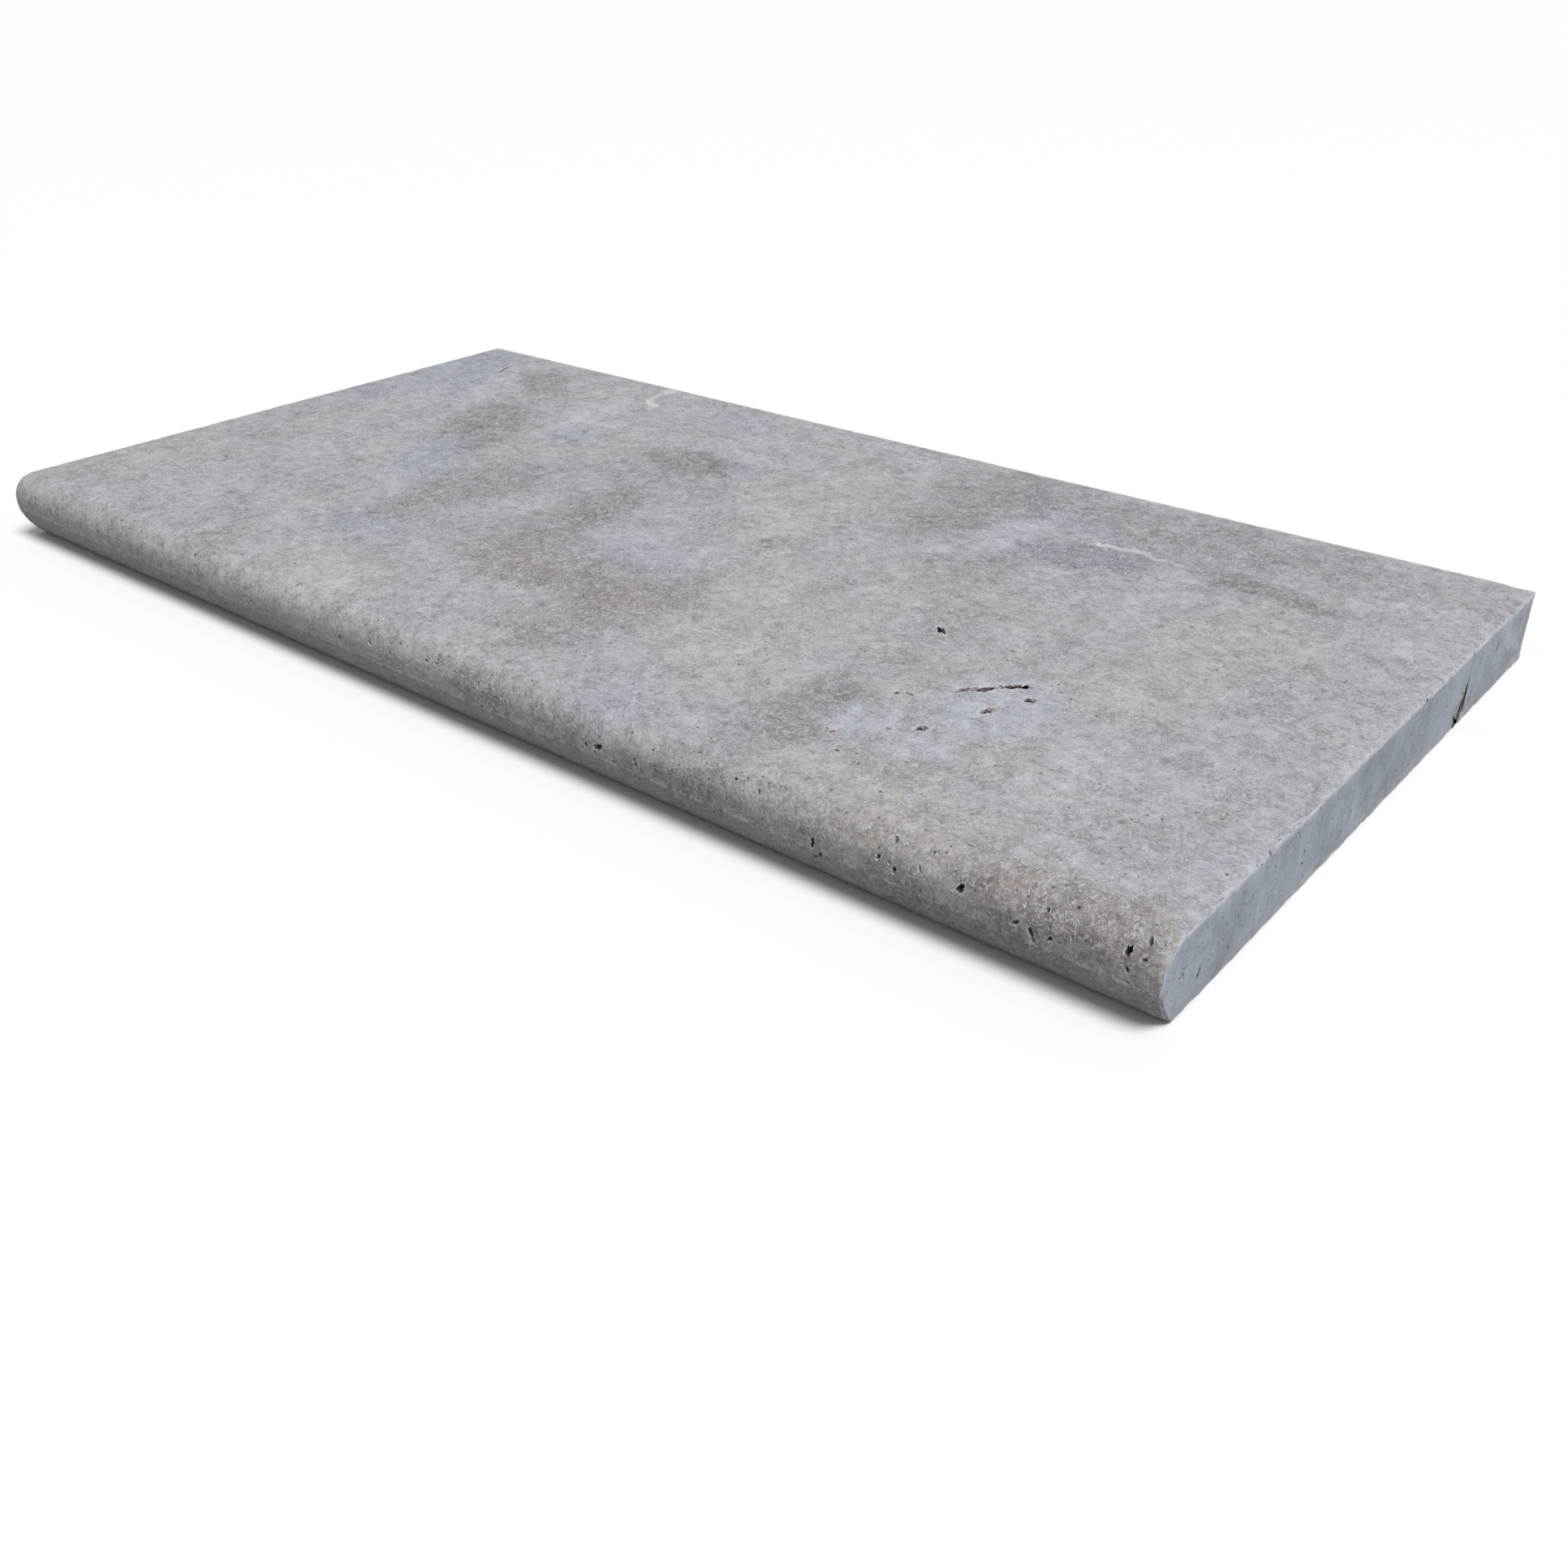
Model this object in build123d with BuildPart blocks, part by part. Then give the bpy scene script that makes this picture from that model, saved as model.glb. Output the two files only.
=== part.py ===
from build123d import *
import os
from math import asin, cos, pi, radians, sin
from typing import NamedTuple

# Travertine bullnose coping, one sawn and tumbled stone.
# +X runs along the length, +Y to the back arris, the bullnose faces -Y and the bed is at Z = 0.

# Slab
length = 610.0
depth = 305.0
thickness = 30.0

# Bullnose section: a round from the top face, a short upright face down to a crease,
# and a flatter second round that runs back under the nose to the bottom arris
nose_top_radius = 11.0
nose_crease_drop = 15.5
nose_lower_radius = 30.0
nose_undercut = 9.3

# Tumbled arrises: the ones in view are worn, the ones at the bed only lost their sharpness
worn_arris = 2.0
bed_arris = 0.8

# Natural voids: uneven outlines that narrow towards an offset floor
void_points = 9
void_unevenness = 0.16
void_floor_share = 0.5
void_floor_shift = 0.12
void_clearance = 1.5


class Void(NamedTuple):
    """One natural void. Its place is taken from the end face, or from the nose, and the top face."""

    from_end: float
    from_nose: float
    below_top: float
    long: float
    wide: float
    deep: float
    turn: float


# Voids in the top face, placed by from_end and from_nose
top_voids = [
    Void(from_end=122, from_nose=99, below_top=0, long=10.5, wide=3.2, deep=2.6, turn=52),
    Void(from_end=115, from_nose=107, below_top=0, long=7.5, wide=3.4, deep=4.5, turn=44),
    Void(from_end=105, from_nose=101, below_top=0, long=4.8, wide=3.4, deep=3.2, turn=20),
    Void(from_end=112, from_nose=86, below_top=0, long=5.2, wide=3.8, deep=2.4, turn=75),
    Void(from_end=162, from_nose=130, below_top=0, long=6.4, wide=2.8, deep=5.5, turn=140),
    Void(from_end=122, from_nose=62, below_top=0, long=4.4, wide=3.2, deep=2.8, turn=35),
]

# Voids in the nose, placed by from_end and below_top
nose_voids = [
    Void(from_end=212, from_nose=0, below_top=11.5, long=4.2, wide=2.6, deep=2.0, turn=25),
    Void(from_end=119, from_nose=0, below_top=13.0, long=4.4, wide=1.6, deep=2.6, turn=82),
    Void(from_end=65, from_nose=0, below_top=7.5, long=3.2, wide=2.4, deep=2.8, turn=60),
    Void(from_end=12, from_nose=0, below_top=5.5, long=4.6, wide=1.9, deep=3.2, turn=80),
]

# Voids in the sawn end, placed by from_nose and below_top; the long one opens at the bottom arris
end_voids = [
    Void(from_end=0, from_nose=235, below_top=22.0, long=21.0, wide=3.2, deep=5.0, turn=76),
    Void(from_end=0, from_nose=23, below_top=20.5, long=5.0, wide=1.7, deep=2.6, turn=70),
]

half_length = length / 2
nose_front = -depth / 2
round_centre_y = nose_front + nose_top_radius
crease_height = thickness - nose_crease_drop


def top_plane(void):
    """The plane of the top face at the void's middle."""
    middle = (half_length - void.from_end, nose_front + void.from_nose, thickness)
    return Plane(origin=middle, x_dir=(1, 0, 0), z_dir=(0, 0, 1))


def nose_plane(void):
    """The plane that touches the nose at the void's middle, on the round or on the upright face."""
    rise = max(nose_top_radius - void.below_top, 0)
    lean = asin(rise / nose_top_radius)
    middle_y = round_centre_y - nose_top_radius * cos(lean)
    middle = (half_length - void.from_end, middle_y, thickness - void.below_top)
    return Plane(origin=middle, x_dir=(1, 0, 0), z_dir=(0, -cos(lean), sin(lean)))


def end_plane(void):
    """The plane of the right sawn end at the void's middle."""
    middle = (half_length, nose_front + void.from_nose, thickness - void.below_top)
    return Plane(origin=middle, x_dir=(0, 1, 0), z_dir=(1, 0, 0))


def void_outline(void, share, shift):
    """Points round the void's uneven outline, at a share of its size and shifted along it."""
    turn = radians(void.turn)
    points = []
    for step in range(void_points):
        angle = 2 * pi * step / void_points
        swell = 1 + void_unevenness * (sin(2 * angle + void.turn) + sin(3 * angle + void.long))
        along = void.long / 2 * share * swell * cos(angle) + shift * void.long
        across = void.wide / 2 * share * swell * sin(angle)
        points.append((along * cos(turn) - across * sin(turn), along * sin(turn) + across * cos(turn)))
    return points


with BuildPart() as coping:
    with BuildSketch(Plane.YZ) as section:
        with BuildLine():
            bed = Line((nose_front + nose_undercut, 0), (depth / 2, 0))
            back = Line(bed @ 1, (depth / 2, thickness))
            top = Line(back @ 1, (round_centre_y, thickness))
            top_round = TangentArc(top @ 1, (nose_front, thickness - nose_top_radius), tangent=top % 1)
            upright = Line(top_round @ 1, (nose_front, crease_height))
            lower_round = RadiusArc(upright @ 1, bed @ 0, -nose_lower_radius)
        make_face()
    extrude(amount=half_length, both=True)

    ends = coping.faces().filter_by(Axis.X)
    bed_edges = coping.faces().sort_by(Axis.Z)[0].edges()
    end_edges = ends.edges()
    back_edge = coping.edges().filter_by(Axis.X).group_by(Axis.Z)[-1].sort_by(Axis.Y)[-1]
    worn_edges = (end_edges - bed_edges) + [back_edge]
    fillet(worn_edges, worn_arris)
    bed_rim = coping.faces().sort_by(Axis.Z)[0].edges()
    fillet(bed_rim, bed_arris)

    mouths = [(top_plane(void), void) for void in top_voids]
    mouths += [(nose_plane(void), void) for void in nose_voids]
    mouths += [(end_plane(void), void) for void in end_voids]
    for mouth, void in mouths:
        proud = void_clearance / void.deep
        with BuildSketch(mouth.offset(void_clearance)):
            with BuildLine():
                flare = 1 + (1 - void_floor_share) * proud
                Spline(*void_outline(void, flare, -void_floor_shift * proud), periodic=True)
            make_face()
        with BuildSketch(mouth.offset(-void.deep)):
            with BuildLine():
                Spline(*void_outline(void, void_floor_share, void_floor_shift), periodic=True)
            make_face()
        loft(mode=Mode.SUBTRACT)

coping.part.label = "coping"
os.makedirs("parts", exist_ok=True)
export_step(coping.part, "parts/coping.step")
print("coping", round(coping.part.volume / 1000), "cm3", coping.part.bounding_box().size)
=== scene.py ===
"""Looks of the travertine bullnose coping: one worn stone slab, its natural voids and its finishes.

Lengths in the dataclasses are millimetres where the name ends in _mm, and metres elsewhere. The row frame is kept:
+X along the length, +Y to the square back edge, the bullnose faces -Y and the bed lies at Z = 0.
"""

import logging
import math
from dataclasses import dataclass, field
from enum import Enum

import bmesh
import bpy
import numpy as np
from mathutils import Matrix, Vector, noise

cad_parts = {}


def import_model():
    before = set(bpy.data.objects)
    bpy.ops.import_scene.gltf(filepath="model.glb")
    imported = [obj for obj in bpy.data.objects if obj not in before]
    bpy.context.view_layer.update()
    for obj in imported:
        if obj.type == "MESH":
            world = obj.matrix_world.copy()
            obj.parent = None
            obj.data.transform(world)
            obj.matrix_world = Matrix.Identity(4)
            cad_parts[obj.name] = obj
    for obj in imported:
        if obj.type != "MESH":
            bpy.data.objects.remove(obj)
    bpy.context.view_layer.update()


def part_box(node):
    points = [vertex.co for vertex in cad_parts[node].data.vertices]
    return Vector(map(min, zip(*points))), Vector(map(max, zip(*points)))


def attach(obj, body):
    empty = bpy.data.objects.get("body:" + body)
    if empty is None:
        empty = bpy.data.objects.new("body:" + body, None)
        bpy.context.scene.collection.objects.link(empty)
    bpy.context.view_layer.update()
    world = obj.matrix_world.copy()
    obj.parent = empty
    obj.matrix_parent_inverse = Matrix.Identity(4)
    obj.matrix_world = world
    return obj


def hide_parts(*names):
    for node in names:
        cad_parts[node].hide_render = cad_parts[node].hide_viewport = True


MM = 0.001
NODE = "coping"
BODY = "root"
SEED = 41
TINY = 1e-12
MIDDLE = (0.0, 0.0, 0.0)

log = logging.getLogger("coping")

Colour = tuple[float, float, float]


class Finish(Enum):
    """The finishes of the stone, in the order of its material slots."""

    TUMBLED = 0
    SAWN = 1
    LINING = 2


class Face(Enum):
    """The side of the stone that a void opens in."""

    TOP = "top"
    NOSE = "nose"
    END = "end"


@dataclass(frozen=True)
class StoneSize:
    """Sizes of the stone in millimetres, with the box taken from the CAD node.

    Attributes:
        length_mm: Size along X.
        depth_mm: Size along Y, nose to back.
        thickness_mm: Size along Z.
        nose_top_radius_mm: Round between the top face and the upright face of the nose.
        nose_crease_drop_mm: Height of the crease below the top face.
        nose_undercut_mm: How far the bottom arris lies behind the front.
        nose_lower_radius_mm: Flatter round below the crease.
    """

    length_mm: float
    depth_mm: float
    thickness_mm: float
    nose_top_radius_mm: float = 11.0
    nose_crease_drop_mm: float = 15.5
    nose_undercut_mm: float = 9.3
    nose_lower_radius_mm: float = 30.0

    @classmethod
    def from_frame(cls) -> "StoneSize":
        """Take the box of the CAD node.

        Returns:
            The sizes.
        """
        low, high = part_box(NODE)
        length, depth, thickness = (high - low) / MM
        return cls(length, depth, thickness)

    @property
    def half_length_mm(self) -> float:
        """Half of the length."""
        return self.length_mm / 2

    @property
    def front_mm(self) -> float:
        """Y of the foremost line of the nose."""
        return -self.depth_mm / 2

    @property
    def round_centre_y_mm(self) -> float:
        """Y of the centre of the nose's top round."""
        return self.front_mm + self.nose_top_radius_mm


def arc_points(centre: tuple[float, float], radius: float, start: float, end: float, steps: int) -> np.ndarray:
    """Points on an arc in the section plane.

    Args:
        centre: Centre (y, z) in millimetres.
        radius: Radius in millimetres.
        start: First angle in degrees, from +Y towards +Z.
        end: Last angle in degrees.
        steps: Number of equal steps.

    Returns:
        An array of steps + 1 points.
    """
    angles = np.radians(np.linspace(start, end, steps + 1))
    return np.column_stack([centre[0] + radius * np.cos(angles), centre[1] + radius * np.sin(angles)])


def line_points(start: tuple[float, float], end: tuple[float, float], steps: int) -> np.ndarray:
    """Evenly spaced points on a line in the section plane, both ends included."""
    share = np.linspace(0, 1, steps + 1)[:, None]
    return np.array(start) * (1 - share) + np.array(end) * share


def smooth_noise(values: np.ndarray, size: float, seed: int) -> np.ndarray:
    """Smooth seeded noise along a line.

    Args:
        values: Places along the line.
        size: Distance between the noise's own points, in the same unit.
        seed: Seed of the noise.

    Returns:
        Noise from -1 to 1 at each place.
    """
    rng = np.random.default_rng(seed)
    low = values.min()
    knots = rng.uniform(-1, 1, int((values.max() - low) / size) + 4)
    place = (values - low) / size
    index = place.astype(int)
    share = place - index
    share = share * share * (3 - 2 * share)
    return knots[index] * (1 - share) + knots[index + 1] * share


@dataclass
class NoseSection:
    """The closed section of the stone, with arrises whose wear varies along the length.

    Attributes:
        size: Sizes of the stone.
        back_wear_mm: Mean radius of the top back arris.
        bed_wear_mm: Radius of the arrises at the bed.
        round_steps: Steps round the nose's top round, one more than round its lower one.
        face_step_mm: Step of the points on the top face.
    """

    size: StoneSize
    back_wear_mm: float = 0.9
    bed_wear_mm: float = 0.8
    round_steps: int = 15
    face_step_mm: float = 6.0

    def lower_round(self) -> np.ndarray:
        """Work out the flatter round from the bottom arris up to the crease.

        Returns:
            Its (y, z) points in millimetres.
        """
        s = self.size
        crease_z = s.thickness_mm - s.nose_crease_drop_mm
        chord = math.hypot(s.nose_undercut_mm, crease_z)
        lean = math.atan2(s.nose_undercut_mm, crease_z)
        half = math.asin(chord / 2 / s.nose_lower_radius_mm)
        top_angle = 180 + math.degrees(lean - half)
        radius, turn = s.nose_lower_radius_mm, math.radians(top_angle)
        centre = (s.front_mm - radius * math.cos(turn), crease_z - radius * math.sin(turn))
        low_angle = 180 + math.degrees(lean + half)
        return arc_points(centre, radius, low_angle, top_angle, self.round_steps - 1)

    def loop(self, back_wear_mm: float) -> np.ndarray:
        """Points of the section, from the bottom arris of the nose round to the bed again.

        Args:
            back_wear_mm: Radius of the top back arris at this station.

        Returns:
            An array of (y, z) points; their number doesn't depend on the wear.
        """
        s = self.size
        back, top = s.depth_mm / 2, s.thickness_mm
        lower = self.lower_round()
        wear, bed = back_wear_mm, self.bed_wear_mm
        upright = line_points(tuple(lower[-1]), (s.front_mm, top - s.nose_top_radius_mm), 4)
        middle = (s.round_centre_y_mm, top - s.nose_top_radius_mm)
        nose = arc_points(middle, s.nose_top_radius_mm, 180, 90, self.round_steps)
        steps = round((back - s.round_centre_y_mm) / self.face_step_mm)
        face = line_points(tuple(nose[-1]), (back - wear, top), steps)
        arris = arc_points((back - wear, top - wear), wear, 90, 0, 5)
        rear = line_points(tuple(arris[-1]), (back, bed), 12)
        heel = arc_points((back - bed, bed), bed, 0, -90, 3)
        floor = line_points(tuple(heel[-1]), (s.front_mm + s.nose_undercut_mm + bed, 0.0), 26)
        toe = np.array([[s.front_mm + s.nose_undercut_mm + 0.25 * bed, 0.25 * bed]])
        parts = [lower[1:], upright[1:], nose[1:], face[1:], arris[1:], rear[1:], heel[1:], floor[1:], toe]
        return np.vstack(parts)


@dataclass
class CopingSlab:
    """The stone's body: the section pulled along the length, with worn and chipped arrises.

    Attributes:
        size: Sizes of the stone.
        section: Its section.
        end_wear_mm: Mean radius of the arrises round the right sawn end.
        left_share: Wear of the left end's arrises, as a share of the right end's.
        end_zone_mm: Length of the finely divided zone at each end.
        bay_mm: Step of the stations between the end zones.
        inner_mm: Distances of the stations before the worn arris from the end's face.
        turns: Angles of the stations round the worn arris, in degrees.
        uneven: Spread of the worn arris, each with the length in millimetres over which it changes.
        uneven_back: The same for the top back arris.
        eased: Share of the neighbouring arris's radius that the end's arris keeps beside it.
    """

    size: StoneSize
    section: NoseSection
    end_wear_mm: float = 1.9
    left_share: float = 0.45
    end_zone_mm: float = 9.0
    bay_mm: float = 8.0
    inner_mm: tuple[float, ...] = (7.6, 6.4, 5.2)
    turns: tuple[float, ...] = (0.0, 20.0, 38.0, 54.0, 68.0, 80.0, 90.0)
    uneven: tuple[tuple[float, float], ...] = ((0.35, 17.0), (0.2, 5.0))
    uneven_back: tuple[float, float] = (0.3, 23.0)
    eased: float = 0.85

    def stations(self) -> list[tuple[float, float]]:
        """Stations along the length.

        Returns:
            Pairs of (x in millimetres, angle in degrees round the worn end arris, or -1 away from it).
        """
        half, zone = self.size.half_length_mm, self.end_zone_mm
        count = round((self.size.length_mm - 2 * zone) / self.bay_mm)
        middle = [(x, -1.0) for x in np.linspace(-half + zone, half - zone, count + 1)]
        right = [(half - d, -1.0) for d in self.inner_mm] + [(half, turn) for turn in self.turns]
        left = [(-x, a) for x, a in reversed(right)]
        return left + middle + right

    def end_wear(self, loop: np.ndarray, side: int) -> np.ndarray:
        """Radius of the worn end arris at each point of the section, in millimetres.

        Args:
            loop: The section's points.
            side: +1 for the right end, -1 for the left end.

        Returns:
            One radius for each point.
        """
        steps = np.linalg.norm(np.diff(loop, axis=0, prepend=loop[:1]), axis=1)
        along = np.cumsum(steps)
        spread = 1.0
        for number, (strength, size) in enumerate(self.uneven):
            spread = spread + strength * smooth_noise(along, size, SEED + 10 * number + side)
        radius = self.end_wear_mm * spread * (1.0 if side > 0 else self.left_share)
        height = np.clip(loop[:, 1] / 6.0, 0, 1)
        radius = self.eased * self.section.bed_wear_mm * (1 - height) + radius * height
        at_back = np.clip((loop[:, 0] - (self.size.depth_mm / 2 - 6)) / 5, 0, 1)
        limit = self.section.bed_wear_mm + (self.section.back_wear_mm - self.section.bed_wear_mm) * height
        return radius * (1 - at_back) + np.minimum(radius, self.eased * limit) * at_back

    def inward(self, loop: np.ndarray) -> np.ndarray:
        """Work out which way the section's points move when they are worn.

        Args:
            loop: The section's points.

        Returns:
            Their unit normals, pointing into the stone.
        """
        tangent = np.roll(loop, -1, axis=0) - np.roll(loop, 1, axis=0)
        tangent /= np.linalg.norm(tangent, axis=1)[:, None]
        return np.column_stack([tangent[:, 1], -tangent[:, 0]])

    def build(self) -> bpy.types.Object:
        """Build the slab as one closed mesh, before its tumbling and its voids.

        Returns:
            The slab's object.
        """
        rings: list[np.ndarray] = []
        stations = self.stations()
        spread = np.array([x for x, _ in stations])
        strength, size = self.uneven_back
        back_wear = self.section.back_wear_mm * (1 + strength * smooth_noise(spread, size, SEED + 3))
        for (x, angle), wear in zip(stations, back_wear):
            side = 1 if x > 0 else -1
            loop = self.section.loop(self.section.back_wear_mm if angle >= 0 else wear)
            across = np.full(len(loop), x)
            if angle >= 0:
                radius = self.end_wear(loop, side)
                turn = math.radians(angle)
                across = side * (abs(x) - radius * (1 - math.sin(turn)))
                loop = loop + self.inward(loop) * (radius * (1 - math.cos(turn)))[:, None]
            rings.append(np.column_stack([across, loop]) * MM)
        first, last = self.cap_ring(rings[0]), self.cap_ring(rings[-1])
        rings = [first] + rings + [last]
        mesh = self.skin(rings)
        self.refine(mesh)
        slab = bpy.data.objects.new("coping_stone", mesh)
        bpy.context.scene.collection.objects.link(slab)
        return slab

    def cap_ring(self, ring: np.ndarray) -> np.ndarray:
        """Work out a slightly smaller ring inside the rim of an end, in the plane of that end.

        Args:
            ring: The rim's points.

        Returns:
            The ring's points.
        """
        middle = np.array([0.0, self.size.thickness_mm / 2 * MM])
        shrink = np.array([1 - 2 / self.size.depth_mm, 1 - 2 / self.size.thickness_mm])
        return np.column_stack([ring[:, 0], middle + (ring[:, 1:] - middle) * shrink])

    def skin(self, rings: list[np.ndarray]) -> bpy.types.Mesh:
        """Join the rings into a closed mesh with a cap at each end.

        Args:
            rings: The points of each ring, from left to right.

        Returns:
            The mesh.
        """
        count = len(rings[0])
        points = np.vstack(rings)
        faces = []
        for i in range(len(rings) - 1):
            for j in range(count):
                k = (j + 1) % count
                faces.append((i * count + j, i * count + k, (i + 1) * count + k, (i + 1) * count + j))
        faces.append(tuple(range(count - 1, -1, -1)))
        faces.append(tuple(range((len(rings) - 1) * count, len(rings) * count)))
        mesh = bpy.data.meshes.new("coping_stone")
        mesh.from_pydata(points.tolist(), [], faces)
        return mesh

    def spans(self, edge: bmesh.types.BMEdge, axis: int) -> float:
        """How far an edge runs along an axis, in millimetres."""
        return abs(edge.verts[0].co[axis] - edge.verts[1].co[axis]) / MM

    def at_end(self, edge: bmesh.types.BMEdge) -> bool:
        """Whether an edge lies in the finely divided zone of an end."""
        return all(abs(v.co.x) / MM > self.size.half_length_mm - self.end_zone_mm + 1 for v in edge.verts)

    def in_band(self, edge: bmesh.types.BMEdge) -> bool:
        """Tell whether an edge lies on the nose or along the back.

        Args:
            edge: The edge.

        Returns:
            True if both its ends do.
        """
        low = self.size.front_mm + self.size.nose_top_radius_mm + 7
        high = self.size.depth_mm / 2 - 7
        return all(v.co.y / MM < low or v.co.y / MM > high for v in edge.verts)

    def refine(self, mesh: bpy.types.Mesh) -> None:
        """Divide the long edges near the ends, on the nose and along the back, and make the faces point outwards.

        Args:
            mesh: The slab's mesh.
        """
        work = bmesh.new()
        work.from_mesh(mesh)
        bmesh.ops.remove_doubles(work, verts=work.verts, dist=2e-6)
        near_end = [e for e in work.edges if self.at_end(e) and self.spans(e, 1) > 3]
        bmesh.ops.subdivide_edges(work, edges=near_end, cuts=4, use_grid_fill=True)
        long_bays = [e for e in work.edges if self.spans(e, 0) > 5 and self.in_band(e)]
        bmesh.ops.subdivide_edges(work, edges=long_bays, cuts=4, use_grid_fill=True)
        bmesh.ops.dissolve_degenerate(work, dist=1e-6, edges=work.edges)
        bmesh.ops.recalc_face_normals(work, faces=work.faces)
        work.to_mesh(mesh)
        work.free()


class Socket(Enum):
    """Kinds of group sockets."""

    GEOMETRY = "NodeSocketGeometry"
    MATERIAL = "NodeSocketMaterial"
    NUMBER = "NodeSocketFloat"
    TEXT = "NodeSocketString"
    VECTOR = "NodeSocketVector"
    WHOLE = "NodeSocketInt"


@dataclass
class SurfaceGauge:
    """Measures how deep points lie in the stone and how near they lie to an arris.

    Attributes:
        size: Sizes of the stone.
        section: Its section.
        unworn_mm: Radius that the back arris had before it was worn.
    """

    size: StoneSize
    section: NoseSection
    unworn_mm: float = 0.05

    def to_outline(self, points: np.ndarray) -> np.ndarray:
        """Distance of points to the section's outline, in the section plane.

        Args:
            points: Points in millimetres.

        Returns:
            One distance in millimetres for each point.
        """
        outline = self.section.loop(self.unworn_mm)
        nearest = np.full(len(points), np.inf)
        for start, end in zip(outline, np.roll(outline, -1, axis=0)):
            run = end - start
            share = np.clip(((points[:, 1:] - start) @ run) / (run @ run + TINY), 0, 1)
            nearest = np.minimum(nearest, np.linalg.norm(points[:, 1:] - start - share[:, None] * run, axis=1))
        return nearest

    def depth(self, points: np.ndarray) -> np.ndarray:
        """Depth of points under the stone's unworn surface.

        Args:
            points: Points in millimetres.

        Returns:
            Depth in millimetres, at least 0.
        """
        to_end = self.size.half_length_mm - np.abs(points[:, 0])
        return np.maximum(np.minimum(self.to_outline(points), to_end), 0)

    def arris(self, points: np.ndarray, reach_mm: float) -> np.ndarray:
        """Nearness of points to the stone's arrises.

        Args:
            points: Points in millimetres.
            reach_mm: Distance at which the nearness has dropped to a third.

        Returns:
            1 on an arris, falling to 0 away from it.
        """
        s = self.size
        nearest = np.hypot(s.half_length_mm - np.abs(points[:, 0]), self.to_outline(points))
        back = s.depth_mm / 2
        for corner in ((back, s.thickness_mm), (back, 0.0), (s.front_mm + s.nose_undercut_mm, 0.0)):
            nearest = np.minimum(nearest, np.linalg.norm(points[:, 1:] - np.array(corner), axis=1))
        return np.exp(-nearest / reach_mm)

    def paint(self, mesh: bpy.types.Mesh, name: str, values: np.ndarray) -> None:
        """Store one value for each vertex under a name."""
        attribute = mesh.attributes.get(name) or mesh.attributes.new(name, "FLOAT", "POINT")
        attribute.data.foreach_set("value", values.astype(np.float32))

    def points(self, mesh: bpy.types.Mesh) -> np.ndarray:
        """Read the mesh's vertices.

        Args:
            mesh: The mesh.

        Returns:
            One row (x, y, z) in millimetres for each vertex.
        """
        flat = np.zeros(len(mesh.vertices) * 3, np.float32)
        mesh.vertices.foreach_get("co", flat)
        return flat.reshape(-1, 3).astype(float) / MM


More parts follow.
